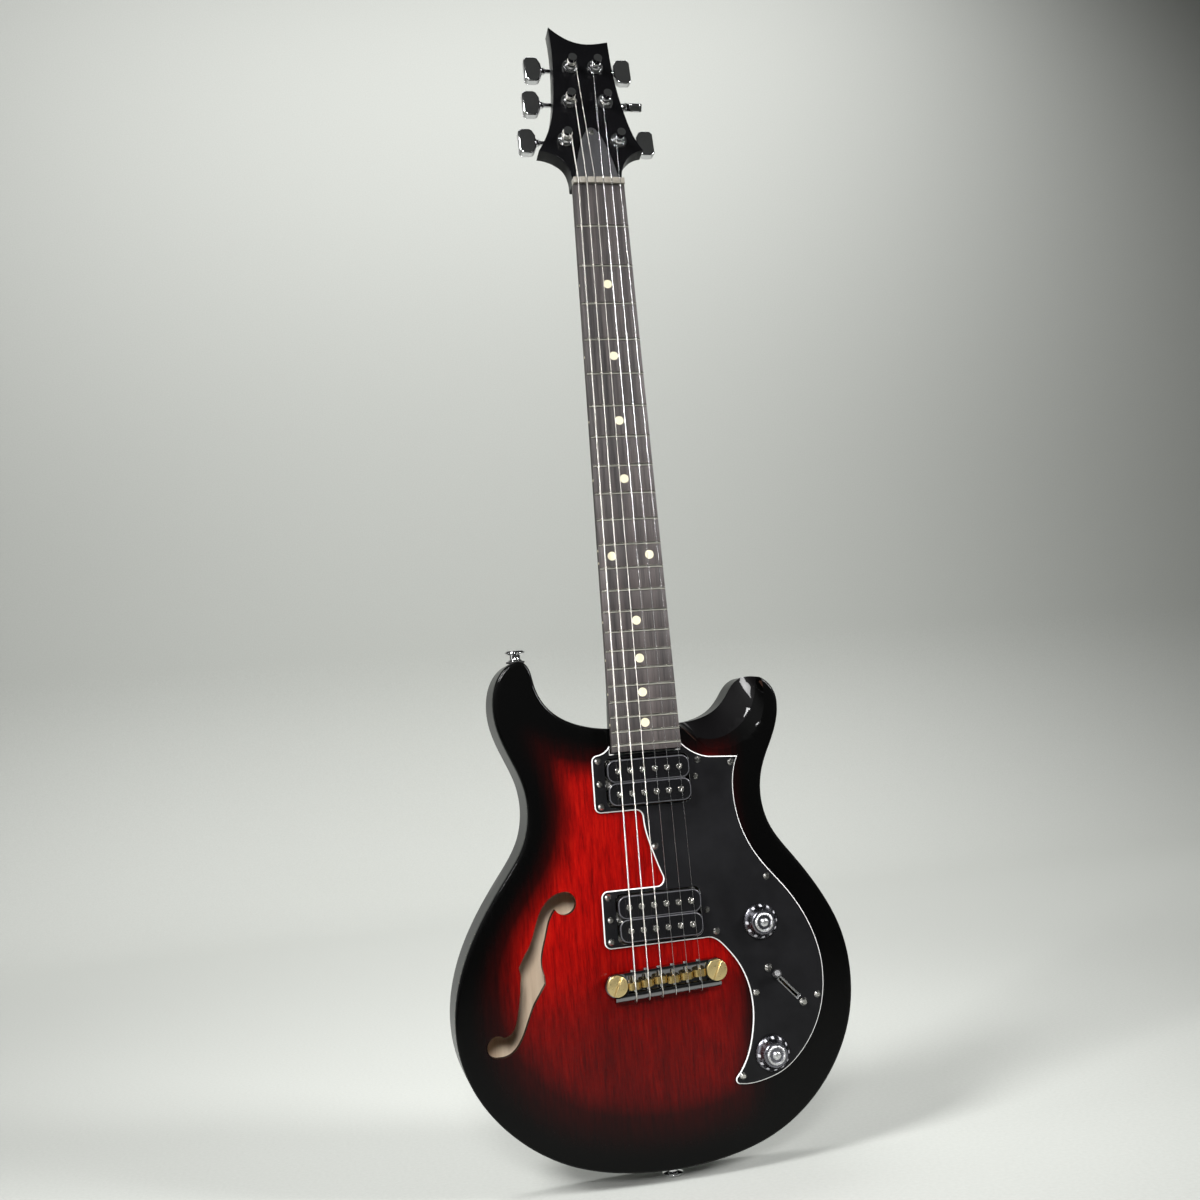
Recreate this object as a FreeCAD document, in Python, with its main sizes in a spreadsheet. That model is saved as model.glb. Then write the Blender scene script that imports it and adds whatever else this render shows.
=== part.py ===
import FreeCAD, Part
import math
import os
from FreeCAD import Placement, Rotation, Vector

# Solid-body electric guitar with one sound chamber, standing upright: +X is the treble side,
# +Y the back, +Z runs up the neck. The origin is the seat of the end strap button, in the
# middle of the body's thickness. Positions on the front view are given as (x, drop), where
# drop is the distance below the front edge of the nut.

doc = FreeCAD.newDocument("electric_guitar")
sheet = doc.addObject("Spreadsheet::Sheet", "sizes")

DIMENSIONS = (
    ("nut_height", 781.0),
    ("scale_length", 635.0),
    ("body_thickness", 44.5),
    ("top_thickness", 6.0),
    ("front_rounding", 2.5),
    ("back_rounding", 4.0),
    ("fret_lift", 12.0),
    ("fret_rise", 1.1),
    ("fret_width", 2.4),
    ("board_thickness", 6.0),
    ("board_radius", 254.0),
    ("board_length", 462.0),
    ("nut_width", 43.0),
    ("board_end_width", 55.8),
    ("nut_thickness", 5.0),
    ("string_spread_nut", 35.0),
    ("string_spread_bridge", 52.4),
    ("head_tilt", 9.0),
    ("head_drop", 5.5),
    ("head_thickness", 14.0),
    ("guard_thickness", 2.4),
    ("cover_thickness", 2.0),
    ("pickup_width", 66.5),
    ("bobbin_width", 17.6),
    ("bobbin_height", 9.4),
    ("pickup_lift", 7.4),
    ("pole_radius", 2.4),
    ("pole_pitch", 9.9),
    ("rout_depth", 20.0),
    ("cavity_depth", 34.0),
    ("chamber_depth", 33.0),
    ("stud_spacing", 79.4),
    ("stud_drop", 636.15),
    ("bridge_slant", 2.4),
    ("bridge_gap", 4.0),
    ("bridge_height", 13.5),
    ("saddle_width", 9.7),
    ("saddle_length", 5.2),
    ("saddle_height", 5.9),
    ("post_radius", 3.1),
    ("post_length", 13.0),
    ("bushing_radius", 4.9),
    ("key_offset", 10.6),
    ("key_depth", 19.6),
    ("knob_radius", 13.75),
    ("knob_height", 12.2),
    ("shaft_radius", 3.0),
    ("pot_radius", 8.2),
    ("lever_angle", 28.0),
    ("lever_pivot_depth", 18.0),
    ("button_radius", 8.2),
    ("jack_bore_radius", 3.2),
    ("jack_bore_length", 9.0),
    ("running_gap", 0.3),
)
for row, (alias, value) in enumerate(DIMENSIONS, 1):
    sheet.set(f"A{row}", alias)
    sheet.set(f"B{row}", str(value))
    sheet.setAlias(f"B{row}", alias)
doc.recompute()


def size(alias):
    return float(sheet.get(alias))


X = Vector(1, 0, 0)
Y = Vector(0, 1, 0)
Z = Vector(0, 0, 1)
GAP = size("running_gap")
NUT_Z = size("nut_height")
HALF = size("body_thickness") / 2
FRONT = "(-sizes.body_thickness / 2)"
BACK = "(sizes.body_thickness / 2)"
GLUE_LINE = "(sizes.top_thickness - sizes.body_thickness / 2)"
FRET_Y = -HALF - size("fret_lift")
BOARD_Y = FRET_Y + size("fret_rise") + size("board_thickness")
nodes = {}


# ---- Ways of making a piece -------------------------------------------------------------

def keep(label, thing):
    """Name a finished piece and put it on the list of pieces to write out."""
    thing.Label = label
    nodes[label] = thing
    return thing


def plan(x, drop):
    return Vector(x, NUT_Z - drop, 0)


def flat(x, z):
    return Vector(x, z, 0)


def chain(start, *steps, place=plan):
    """Joined curves. A tuple is a straight run, a pair in a list an arc, a longer list a spline."""
    curves = []
    here = place(*start)
    for step in steps:
        if isinstance(step, tuple):
            there = place(*step)
            curves.append(Part.LineSegment(here, there))
        else:
            through = [place(*point) for point in step]
            there = through[-1]
            if len(through) == 2:
                curves.append(Part.Arc(here, through[0], there))
            else:
                spline = Part.BSplineCurve()
                spline.interpolate([here] + through)
                curves.append(spline)
        here = there
    return curves


def closed_curve(*points):
    """One smooth curve round the whole outline."""
    spline = Part.BSplineCurve()
    spline.interpolate([plan(*point) for point in points], True)
    return [spline]


def disc(x, z, radius, place=flat):
    return [Part.Circle(place(x, z), Z, radius)]


def rounded_box(centre, width, height, radius, place=flat):
    """A rectangle with round corners, drawn counter-clockwise."""
    x, z = centre
    dx, dz = width / 2, height / 2
    inset = radius * (1 - math.sqrt(0.5))
    signs = ((1, -1), (1, 1), (-1, 1), (-1, -1))
    steps = []
    for turn, (sx, sz) in enumerate(signs):
        along_x = (x + sx * (dx - radius), z + sz * dz)
        along_z = (x + sx * dx, z + sz * (dz - radius))
        before, after = (along_x, along_z) if turn % 2 == 0 else (along_z, along_x)
        middle = (x + sx * (dx - inset), z + sz * (dz - inset))
        steps += [before, [middle, after]]
    start = (x - dx + radius, z - dz)
    return chain(start, *steps, place=place)


def slab(name, loops, front, back, rounding=None, rounded_face=None):
    """A flat piece cut to an outline in the XZ plane, between two depths given as formulas."""
    body = doc.addObject("PartDesign::Body", name)
    plane = next(item for item in body.Origin.OriginFeatures if item.Role == "XZ_Plane")
    sketch = body.newObject("Sketcher::SketchObject", name + "_outline")
    sketch.AttachmentSupport = [(plane, "")]
    sketch.MapMode = "FlatFace"
    sketch.setExpression("AttachmentOffset.Base.z", f"-({back})")
    for loop in loops:
        sketch.addGeometry(loop, False)
    pad = body.newObject("PartDesign::Pad", name + "_pad")
    pad.Profile = sketch
    pad.setExpression("Length", f"({back}) - ({front})")
    doc.recompute()
    if rounding:
        depth = sheet_value(rounded_face)
        rim = [
            f"Edge{number}"
            for number, edge in enumerate(pad.Shape.Edges, 1)
            if max(abs(vertex.Point.y - depth) for vertex in edge.Vertexes) < 0.01
        ]
        fillet = body.newObject("PartDesign::Fillet", name + "_rounding")
        fillet.Base = (pad, rim)
        fillet.setExpression("Radius", rounding)
        doc.recompute()
    return body


def sheet_value(rule):
    """The number a formula on the sheet gives."""
    probe = doc.addObject("App::FeaturePython", "probe")
    probe.addProperty("App::PropertyFloat", "Value")
    probe.setExpression("Value", rule)
    doc.recompute()
    value = probe.Value
    doc.removeObject(probe.Name)
    return value


def rod(radius, length, at, along=Y, far_radius=None):
    """A cylinder, or a cone where the far end has another radius, sized by formulas."""
    kind = "Part::Cone" if far_radius else "Part::Cylinder"
    thing = doc.addObject(kind, "rod")
    if far_radius:
        thing.setExpression("Radius1", str(radius))
        thing.setExpression("Radius2", str(far_radius))
    else:
        thing.setExpression("Radius", str(radius))
    thing.setExpression("Height", str(length))
    thing.Placement = Placement(at, Rotation(Z, along))
    return thing


def block(width, depth, height, middle, turn=Rotation()):
    """A box sized by formulas, placed by its middle."""
    thing = doc.addObject("Part::Box", "block")
    for name, rule in (("Length", width), ("Width", depth), ("Height", height)):
        thing.setExpression(name, str(rule))
    doc.recompute()
    half = Vector(thing.Length.Value, thing.Width.Value, thing.Height.Value) * 0.5
    thing.Placement = Placement(middle - turn.multVec(half), turn)
    return thing


def join(things, name="joined"):
    fuse = doc.addObject("Part::MultiFuse", name)
    fuse.Shapes = things
    return fuse


def cut(base, tools, name="cut"):
    piece = doc.addObject("Part::Cut", name)
    piece.Base = base
    piece.Tool = tools[0] if len(tools) == 1 else join(tools)
    return piece


def group(things, name="group"):
    compound = doc.addObject("Part::Compound", name)
    compound.Links = things
    return compound


def solid(name, shape, place=Placement()):
    """A free-form piece whose sizes have been read from the sheet."""
    feature = doc.addObject("Part::Feature", name)
    feature.Shape = shape
    feature.Placement = place
    return feature


def placed(thing, place):
    thing.Placement = place.multiply(thing.Placement)
    return thing


def rounded_path(points, radii):
    """Straight runs through the points, joined by tangent arcs at the inner ones."""
    edges = []
    here = points[0]
    for before, corner, after, radius in zip(points, points[1:], points[2:], radii):
        into = (corner - before).normalize()
        out = (after - corner).normalize()
        turn = into.getAngle(out)
        reach = radius * math.tan(turn / 2)
        start = corner - into * reach
        end = corner + out * reach
        bisector = (out - into).normalize()
        middle = corner + bisector * (reach / math.sin(turn / 2) - radius)
        edges.append(Part.LineSegment(here, start).toShape())
        edges.append(Part.Arc(start, middle, end).toShape())
        here = end
    edges.append(Part.LineSegment(here, points[-1]).toShape())
    return Part.Wire(edges)


def tube(path, radius):
    start = path.Edges[0]
    heading = start.tangentAt(start.FirstParameter)
    ring = Part.Wire([Part.Circle(start.Vertexes[0].Point, heading, radius).toShape()])
    return path.makePipeShell([ring], True, False)


# ---- Body: a hollowed back and a thin top glued to it -----------------------------------

NECK_JOINT_DROP = 443.0
NECK_HALF = 28.0
BODY_OUTLINE = closed_curve(
    (0, 443.6), (-NECK_HALF, NECK_JOINT_DROP),
    # Bass cutaway, horn, waist and lower bout, down to the end strap button.
    (-50, 438.5), (-67, 430), (-78, 418), (-84, 402), (-87.5, 390), (-93.5, 385.3), (-100, 386.5),
    (-110, 395), (-116.5, 412), (-115.5, 436), (-107, 459.5), (-98.5, 481), (-96, 503),
    (-101.5, 527), (-117, 551), (-137.5, 580.5), (-153, 611), (-162, 647), (-159.5, 683),
    (-146, 714), (-122, 742), (-85, 766), (-42, 778), (0, 781),
    # Lower bout, waist, horn and cutaway on the treble side.
    (42, 777), (80, 765.5), (112, 744.5), (136, 716), (150, 685), (154.7, 651), (149.5, 615),
    (135, 583.5), (115, 554), (99, 530), (93.5, 504), (97, 483), (107, 461), (114, 440),
    (112.5, 422), (104.5, 412.5), (94, 409.5), (84.5, 414), (77, 423.5), (67, 434),
    (50, 441), (NECK_HALF, NECK_JOINT_DROP),
)
F_HOLE = chain(
    (-72.5, 564.7),
    # Outer edge, from the upper eye past the nick to the lower eye.
    [(-82, 567), (-91.5, 576), (-98.5, 592.5), (-106.5, 608)],
    (-112, 617.5),
    (-110.8, 623),
    [(-112.2, 636), (-116, 654.5), (-121, 664.8), (-126.5, 667.2)],
    [(-139.5, 671), (-131, 681.8)],
    # Inner edge, back up to the upper eye.
    [(-121, 679.5), (-112, 668.5), (-106, 655), (-99, 642)],
    (-92.2, 632),
    (-92.4, 626),
    [(-93.5, 612), (-89.5, 597.5), (-85.5, 585), (-80.7, 577.5)],
    [(-66, 579), (-72.5, 564.7)],
)
CHAMBER = chain(
    (-62, 548),
    [(-86, 547), (-105, 556), (-128, 590), (-143, 630), (-145, 668), (-134, 702), (-108, 733),
     (-80, 745), (-62, 740)],
    [(-55, 722), (-54, 645), (-54, 570), (-62, 548)],
)


def on_body(x, drop, y=-HALF):
    """A point of the guitar's front view at a depth."""
    return Vector(x, y, NUT_Z - drop)


# The scoop leads from a crisp line on the front down to the edge of the treble cutaway.
SCOOP_LINE = ((24, 440), (38, 452.5), (51, 463), (66, 466), (83, 460.5), (97, 449), (103, 431), (102, 408))
SCOOP_EDGE = ((24, 437), (40, 442), (53, 440.5), (63, 436.5), (71.5, 430), (78.5, 421), (86, 413), (97, 401))
SCOOP_DEPTH = 18.0
SCOOP_OVERRUN = 0.15


def scoop_section(share):
    """A closed section of the scoop, share of the way from the crisp line to the cutaway edge."""
    points = [
        on_body(line[0] + (edge[0] - line[0]) * share, line[1] + (edge[1] - line[1]) * share,
                -HALF + SCOOP_DEPTH * share)
        for line, edge in zip(SCOOP_LINE, SCOOP_EDGE)
    ]
    curve = Part.BSplineCurve()
    curve.interpolate(points)
    above = Vector(points[-1].x, points[-1].y, NUT_Z - 380)
    beside = Vector(points[0].x, points[0].y, NUT_Z - 380)
    corners = [points[-1], above, beside, points[0]]
    sides = [Part.makeLine(a, b) for a, b in zip(corners, corners[1:])]
    return Part.Wire([curve.toShape()] + sides)


scoop = Part.makeLoft([scoop_section(-SCOOP_OVERRUN), scoop_section(1 + SCOOP_OVERRUN)], True, True)

PICKUP_DROPS = {"neck": 485.65, "bridge": 589.8}
PICKUP_X = 0.5
KNOB_X = 81.2
KNOB_DROPS = (602.8, 703.9)
SWITCH_ENDS = (Vector(85.2, 0, NUT_Z - 639.5), Vector(111.5, 0, NUT_Z - 668.8))
SWITCH_MIDDLE = (SWITCH_ENDS[0] + SWITCH_ENDS[1]) * 0.5
SWITCH_TURN = Rotation(X, SWITCH_ENDS[1] - SWITCH_ENDS[0])
JACK_SEAT = on_body(144.4, 700.6, 0)
JACK_OUT = Vector(0.912, 0, -0.41)
TENON_END = 463.0


def pickup_rout(drop):
    depth = "sizes.rout_depth + 1"
    middle = on_body(PICKUP_X, drop, -HALF + size("rout_depth") / 2 - 0.5)
    coils = block(72, depth, 40, middle)
    ears = block(88, depth, 14, middle)
    return [coils, ears]


def control_cavity():
    """Round wells for the controls and straight rout between them, behind the guard."""
    depth = "sizes.cavity_depth + 1"
    far = -HALF - 1
    middle_y = far + (size("cavity_depth") + 1) / 2
    wells = [
        rod(16, depth, on_body(KNOB_X, KNOB_DROPS[0], far)),
        rod(14.5, depth, on_body(KNOB_X, KNOB_DROPS[1], far)),
    ]
    channel = block(13, depth, 100, on_body(88, 652, middle_y))
    switch_well = block(46, depth, 15, Vector(SWITCH_MIDDLE.x, middle_y, SWITCH_MIDDLE.z), SWITCH_TURN)
    wiring = block(40, depth, 16, on_body(62, 596, middle_y))
    return wells + [channel, switch_well, wiring]


def body_routs():
    routs = [solid("scoop_tool", scoop.copy())]
    for drop in PICKUP_DROPS.values():
        routs += pickup_rout(drop)
    routs += control_cavity()
    pocket_length = TENON_END - 430
    routs.append(block(52, 40, pocket_length, on_body(0, (TENON_END + 430) / 2, BOARD_Y + 12)))
    bridge_centre = on_body(0, size("stud_drop"), -HALF - 1)
    slant = Rotation(Y, -size("bridge_slant"))
    for side in (-1, 1):
        away = slant.multVec(Vector(side * size("stud_spacing") / 2, 0, 0))
        routs.append(rod(5.6, 20, bridge_centre + away))
    routs.append(rod(9.6, 56, JACK_SEAT - JACK_OUT * 55, JACK_OUT))
    routs.append(rod(12, 3, JACK_SEAT - JACK_OUT * 1.2, JACK_OUT))
    return routs


top_blank = slab("top_blank", [BODY_OUTLINE], FRONT, GLUE_LINE, "sizes.front_rounding", FRONT)
sound_hole = slab("sound_hole", [F_HOLE], FRONT + " - 1", GLUE_LINE + " + 1")
keep("body_top", cut(top_blank, body_routs() + [sound_hole], "body_top"))

back_blank = slab("back_blank", [BODY_OUTLINE], GLUE_LINE, BACK, "sizes.back_rounding", BACK)
chamber = slab("chamber", [CHAMBER], GLUE_LINE + " - 1", FRONT + " + sizes.chamber_depth")
keep("body_core", cut(back_blank, body_routs() + [chamber], "body_core"))


# ---- Neck: one length of wood with a heel, a tenon and a tilted headstock -----------------

NUT_HALF = size("nut_width") / 2
BOARD_LENGTH = size("board_length")


def half_width(drop):
    """Half the width of the neck at a drop: the sides taper evenly from nut to board end."""
    end_half = size("board_end_width") / 2
    return NUT_HALF + (end_half - NUT_HALF) * drop / BOARD_LENGTH


def half_oval(drop, depth, half=None, y=BOARD_Y):
    """A D-shaped section of the neck: flat under the board, half an ellipse behind."""
    half = half or half_width(drop)
    centre = Vector(0, y, NUT_Z - drop)
    left = centre - X * half
    right = centre + X * half
    if half >= depth:
        oval = Part.Ellipse(right, centre + Y * depth, centre)
    else:
        oval = Part.Ellipse(centre + Y * depth, left, centre)
    first = oval.parameter(right)
    last = oval.parameter(left)
    if last <= first:
        last += 2 * math.pi
    return Part.Wire([Part.Arc(oval, first, last).toShape(), Part.makeLine(left, right)])


HEAD = Placement(Vector(0, FRET_Y + size("head_drop"), NUT_Z), Rotation(X, -size("head_tilt")))
POSTS = {
    6: (-22.5, 43.3), 5: (-15.4, 80.5), 4: (-10.8, 114.3),
    3: (10.8, 114.3), 2: (15.4, 80.5), 1: (22.5, 43.3),
}
HEAD_OUTLINE = chain(
    (-21.2, 1),
    [(-21.6, 12), (-25, 21.5), (-33, 28.5), (-46, 32.3)],
    [(-40.3, 42), (-32.2, 62.8), (-26.8, 98), (-25, 130), (-25.6, 153)],
    [(-17.5, 145.8), (-6, 139.4), (5, 137.4), (18.5, 138.9), (24.5, 140.2)],
    [(25, 120), (27.6, 89.4), (32, 64.5), (38, 44), (43, 35)],
    [(32.5, 30.5), (24.6, 20.5), (21.6, 11), (21.2, 1)],
    (-21.2, 1),
    place=flat,
)
head = placed(slab("head", [HEAD_OUTLINE], "0", "sizes.head_thickness"), HEAD)
shaft_sections = [half_oval(0, 15.5), half_oval(318, 17), half_oval(378, 17.5)]
shaft = solid("shaft", Part.makeLoft(shaft_sections, True, False))
heel_sections = [half_oval(378, 17.5), half_oval(386, 18), half_oval(412, 27), half_oval(432, 41),
                 half_oval(NECK_JOINT_DROP, 45.5)]
heel = solid("heel", Part.makeLoft(heel_sections, True, False))
volute_sections = [half_oval(0, 15.5), half_oval(-32, 9, 19, BOARD_Y + 4.5)]
volute = solid("volute", Part.makeLoft(volute_sections, True, False))
tenon_middle = (TENON_END + NECK_JOINT_DROP) / 2
tenon = block(52, 32, TENON_END - NECK_JOINT_DROP, on_body(0, tenon_middle, BOARD_Y + 16))
NUT_MIDDLE = -size("nut_thickness") / 2
head_base = block("sizes.nut_width", 12, "sizes.nut_thickness", on_body(0, NUT_MIDDLE, BOARD_Y + 6))
rod_channel = block(6.4, 10, 460, on_body(0, 224, BOARD_Y + 4.9))
rod_pocket = placed(block(13, 9, 38, Vector(0, 3.5, 25)), HEAD)
post_holes = [placed(rod(5, 16, Vector(x, -1, u)), HEAD) for x, u in POSTS.values()]
nut_shelf = block(60, 12, "sizes.nut_thickness", on_body(0, NUT_MIDDLE, BOARD_Y - 6))
neck_tools = [rod_channel, rod_pocket, nut_shelf] + post_holes
keep("neck", cut(join([shaft, heel, volute, tenon, head_base, head]), neck_tools, "neck"))


# ---- Fretboard, frets, inlays and nut ----------------------------------------------------

BOARD_AXIS_Y = FRET_Y + size("fret_rise") + size("board_radius")
FRETS = 22


def fret_drop(number):
    """Each fret shortens the string by the twelfth root of two."""
    return size("scale_length") * (1 - 2 ** (-number / 12))


end_half = size("board_end_width") / 2
board_outline = chain(
    (-NUT_HALF, 0), (NUT_HALF, 0), (end_half, BOARD_LENGTH), (-end_half, BOARD_LENGTH), (-NUT_HALF, 0)
)
board_blank = slab("board_blank", [board_outline], str(BOARD_Y - 7), str(BOARD_Y))
below_board = on_body(0, BOARD_LENGTH + 2, BOARD_AXIS_Y)
crown_limit = rod("sizes.board_radius", "sizes.board_length + 4", below_board, Z)
board_arched = doc.addObject("Part::MultiCommon", "board_arched")
board_arched.Shapes = [board_blank, crown_limit]
INLAY_DEPTH = 1.5
INLAY_FRETS = (3, 5, 7, 9, 12, 15, 17, 19, 21)


def inlay_places():
    """Front dots lie midway between two frets; the octave has a pair."""
    places = []
    for number in INLAY_FRETS:
        drop = (fret_drop(number - 1) + fret_drop(number)) / 2
        across = (-15.3, 15.3) if number == 12 else (0,)
        places += [(x, drop) for x in across]
    return places


def inlay_face(x):
    """Depth of the arched board's face at x."""
    return BOARD_AXIS_Y - math.sqrt(size("board_radius") ** 2 - x ** 2)


def dot(x, drop, sink):
    face = inlay_face(x)
    return rod(3.5, INLAY_DEPTH + sink, on_body(x, drop, face - sink))


def side_dots():
    """Small dots on the bass edge of the board, doubled at the octave."""
    dots = []
    for number in INLAY_FRETS:
        drop = (fret_drop(number - 1) + fret_drop(number)) / 2
        spread = (-5, 5) if number == 12 else (0,)
        for offset in spread:
            edge = half_width(drop + offset)
            dots.append(rod(1, 1.5, on_body(-edge - 0.05, drop + offset, BOARD_Y - 2.4), X))
    return dots


slots = [
    block(60, 3.0, 0.6, on_body(0, fret_drop(number), FRET_Y + size("fret_rise") + 0.9))
    for number in range(1, FRETS + 1)
]
dot_holes = [dot(x, drop, 1) for x, drop in inlay_places()]
keep("fretboard", cut(board_arched, slots + dot_holes + side_dots(), "fretboard"))
keep("inlay_dots", group([dot(x, drop, 0) for x, drop in inlay_places()] + side_dots(), "inlay_dots"))


def fret(number):
    """A crowned wire bent to the board's radius, with its tang in the slot."""
    drop = fret_drop(number)
    radius = size("board_radius")
    half = size("fret_width") / 2
    rise = size("fret_rise")
    z = NUT_Z - drop
    crown = Part.Arc(
        Vector(0, BOARD_AXIS_Y - radius, z - half),
        Vector(0, BOARD_AXIS_Y - radius - rise, z),
        Vector(0, BOARD_AXIS_Y - radius, z + half),
    ).toShape()
    base = Part.makeLine(crown.Vertexes[-1].Point, crown.Vertexes[0].Point)
    face = Part.Face(Part.Wire([crown, base]))
    reach = math.degrees(math.asin((half_width(drop) - 0.3) / radius))
    axis_point = Vector(0, BOARD_AXIS_Y, 0)
    face.rotate(axis_point, Z, -reach)
    crown_solid = face.revolve(axis_point, Z, 2 * reach)
    tang = Part.makeBox(2 * half_width(drop) - 3, 1.4, 0.5)
    tang.translate(Vector(1.5 - half_width(drop), BOARD_AXIS_Y - radius + 0.9, z - 0.25))
    return [crown_solid, tang]


crowns = [
    solid(f"fret_{number}", Part.makeCompound(fret(number)))
    for number in range(1, FRETS + 1)
]
keep("frets", group(crowns, "frets"))

STRINGS = (6, 5, 4, 3, 2, 1)
STRING_RADII = {6: 0.584, 5: 0.457, 4: 0.33, 3: 0.216, 2: 0.165, 1: 0.127}


def string_x(number, spread):
    """Strings are spaced evenly, the sixth on the bass side."""
    return size(spread) * (0.5 - (number - 1) / 5)


def string_y(x, clearance, radius):
    """Centre of a string that clears the arched frets by a distance."""
    crown = size("board_radius") + size("fret_rise")
    return BOARD_AXIS_Y - math.sqrt(crown ** 2 - x ** 2) - clearance - radius


nut_rise = 1.8
nut_limit = rod(f"sizes.board_radius + sizes.fret_rise + {nut_rise}", 12, on_body(0, 3, BOARD_AXIS_Y), Z)
nut_blank = block("sizes.nut_width", 12, "sizes.nut_thickness", on_body(0, NUT_MIDDLE, BOARD_Y - 6))
nut_arched = doc.addObject("Part::MultiCommon", "nut_arched")
nut_arched.Shapes = [nut_blank, nut_limit]
NUT_CLEARANCE = 0.45
nut_slots = []
for number in STRINGS:
    x = string_x(number, "string_spread_nut")
    radius = STRING_RADII[number]
    y = string_y(x, NUT_CLEARANCE, radius)
    slot_floor = y + radius + 0.4
    nut_slots.append(block(2 * radius + 0.5, 4, 8, on_body(x, -size("nut_thickness") / 2, slot_floor - 2)))
keep("nut", cut(nut_arched, nut_slots, "nut"))

ROD_Y = BOARD_Y + 5.2
rod_bar = rod(2.8, 458, on_body(0, 448, ROD_Y), Z)
rod_nut = rod(3.2, 8, on_body(0, -11, ROD_Y), Z)
keep("truss_rod", group([rod_bar, rod_nut], "truss_rod"))

COVER_OUTLINE = chain(
    (-18, 7),
    (18, 7),
    [(16.2, 17), (12.5, 32), (8, 45), (3.6, 52.4)],
    [(0, 54.2), (-3.6, 52.4)],
    [(-8, 45), (-12.5, 32), (-16.2, 17), (-18, 7)],
    place=flat,
)
COVER_SCREWS = ((0, 49.5),)
keep("truss_rod_cover", placed(slab("truss_rod_cover", [COVER_OUTLINE], "-sizes.cover_thickness", "0"), HEAD))


# ---- Pickguard ---------------------------------------------------------------------------

GUARD_BACK = FRONT
GUARD_FRONT = "(-sizes.body_thickness / 2 - sizes.guard_thickness)"
GUARD_Y = -HALF - size("guard_thickness")
GUARD_OUTLINE = chain(
    # Bass edge beside the neck pickup, with rounded corners.
    (-28.3, 456.5),
    [(-32, 460.6), (-39, 463.2)],
    [(-42.4, 465.2), (-43.4, 469)],
    (-43.8, 503),
    [(-42.3, 506.6), (-38.8, 508)],
    (-11, 508),
    [(-7.6, 509.6), (-6, 514)],
    [(-4.6, 526), (-1.2, 539), (2.4, 550.5), (5.8, 560)],
    [(5.3, 565.3), (0, 567.6)],
    # Bass edge beside the bridge pickup.
    (-39, 567.6),
    [(-42.6, 569.1), (-44.1, 572.7)],
    (-44.6, 606),
    [(-43.1, 609.9), (-39.2, 611.5)],
    (35, 611.2),
    # Inner curve past the bridge, tail, outer curve and pointed upper corner.
    [(43.5, 612.6), (51.5, 620), (60.5, 632.5), (67.5, 650.5),
     (69.3, 669), (66, 691), (58.5, 709.5), (52, 718)],
    [(50.7, 722), (54, 724.3)],
    [(64, 725), (76, 723.2), (89, 719), (104, 708.3), (119.5, 688.5), (129.3, 659), (129.3, 633),
     (122, 607.5), (107, 581), (88, 557), (75, 532.5), (69.8, 506), (71, 486), (75.6, 472.5)],
    (52, 471),
    [(38, 465.5), (28.3, 456.5)],
    (28.3, 463.2),
    (-28.3, 463.2),
    (-28.3, 456.5),
)
GUARD_SCREWS = ((-38.3, 467.7), (-38.3, 503.1), (2.1, 537.1), (42.3, 472.8), (-38.9, 572.4), (-39, 606.3),
                (45.4, 607), (69.5, 477), (90.6, 568.8), (73.4, 657.1), (123.5, 664.4), (56.6, 718.5))
HEIGHT_SCREWS = ((-38.2, 485.65), (39.2, 485.65), (-38.2, 589.8), (39.2, 589.8))
SCREW_HOLE = 1.7

guard_holes = [disc(x, drop, SCREW_HOLE, plan) for x, drop in GUARD_SCREWS + HEIGHT_SCREWS]
guard_holes += [disc(KNOB_X, drop, 4.9, plan) for drop in KNOB_DROPS]
for drop in PICKUP_DROPS.values():
    opening = rounded_box((PICKUP_X, NUT_Z - drop), 68.6, 38.2, 5)
    guard_holes.append(opening)
guard_blank = slab("guard_blank", [GUARD_OUTLINE] + guard_holes, GUARD_FRONT, GUARD_BACK)
lever_slot = block(29, 6, 4.4, Vector(SWITCH_MIDDLE.x, GUARD_Y, SWITCH_MIDDLE.z), SWITCH_TURN)
switch_holes = [rod(1.7, 6, Vector(end.x, GUARD_Y - 2, end.z)) for end in SWITCH_ENDS]
keep("pickguard", cut(guard_blank, [lever_slot] + switch_holes, "pickguard"))


def screw(head_radius, head_height, shank_radius, length, at, along=Y):
    """A domed screw head on a plain shank, with a cross recess. The point of 'at' is the seat."""
    direction = Vector(along)
    head_piece = rod(head_radius * 0.55, head_height, at - direction * head_height, direction, head_radius)
    shank = rod(shank_radius, length, at, direction)
    turn = Rotation(Y, direction)
    recess = [
        block(size_x, 1.2, size_z, at - direction * head_height, turn)
        for size_x, size_z in ((head_radius * 1.1, 0.6), (0.6, head_radius * 1.1))
    ]
    return cut(join([head_piece, shank]), recess)


keep("pickguard_screws", group(
    [screw(2.7, 1.5, 1.4, 12, on_body(x, drop, GUARD_Y)) for x, drop in GUARD_SCREWS], "pickguard_screws"))
keep("pickup_height_screws", group(
    [screw(2.5, 1.3, 1.3, 17, on_body(x, drop, GUARD_Y)) for x, drop in HEIGHT_SCREWS], "pickup_height_screws"))
keep("switch_screws", group(
    [screw(3.3, 2.0, 1.4, 6, Vector(end.x, GUARD_Y, end.z)) for end in SWITCH_ENDS], "switch_screws"))


# ---- Pickups: two coils over a bar magnet on a nickel plate -------------------------------

COIL_TOP = -HALF - size("pickup_lift")
COIL_BACK = COIL_TOP + size("bobbin_height")
MAGNET_BACK = COIL_BACK + 3
PLATE_BACK = MAGNET_BACK + 1.2
ROW_OFFSET = 8.95


def pole_xs():
    return [PICKUP_X + size("pole_pitch") * (index - 2.5) for index in range(6)]


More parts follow.
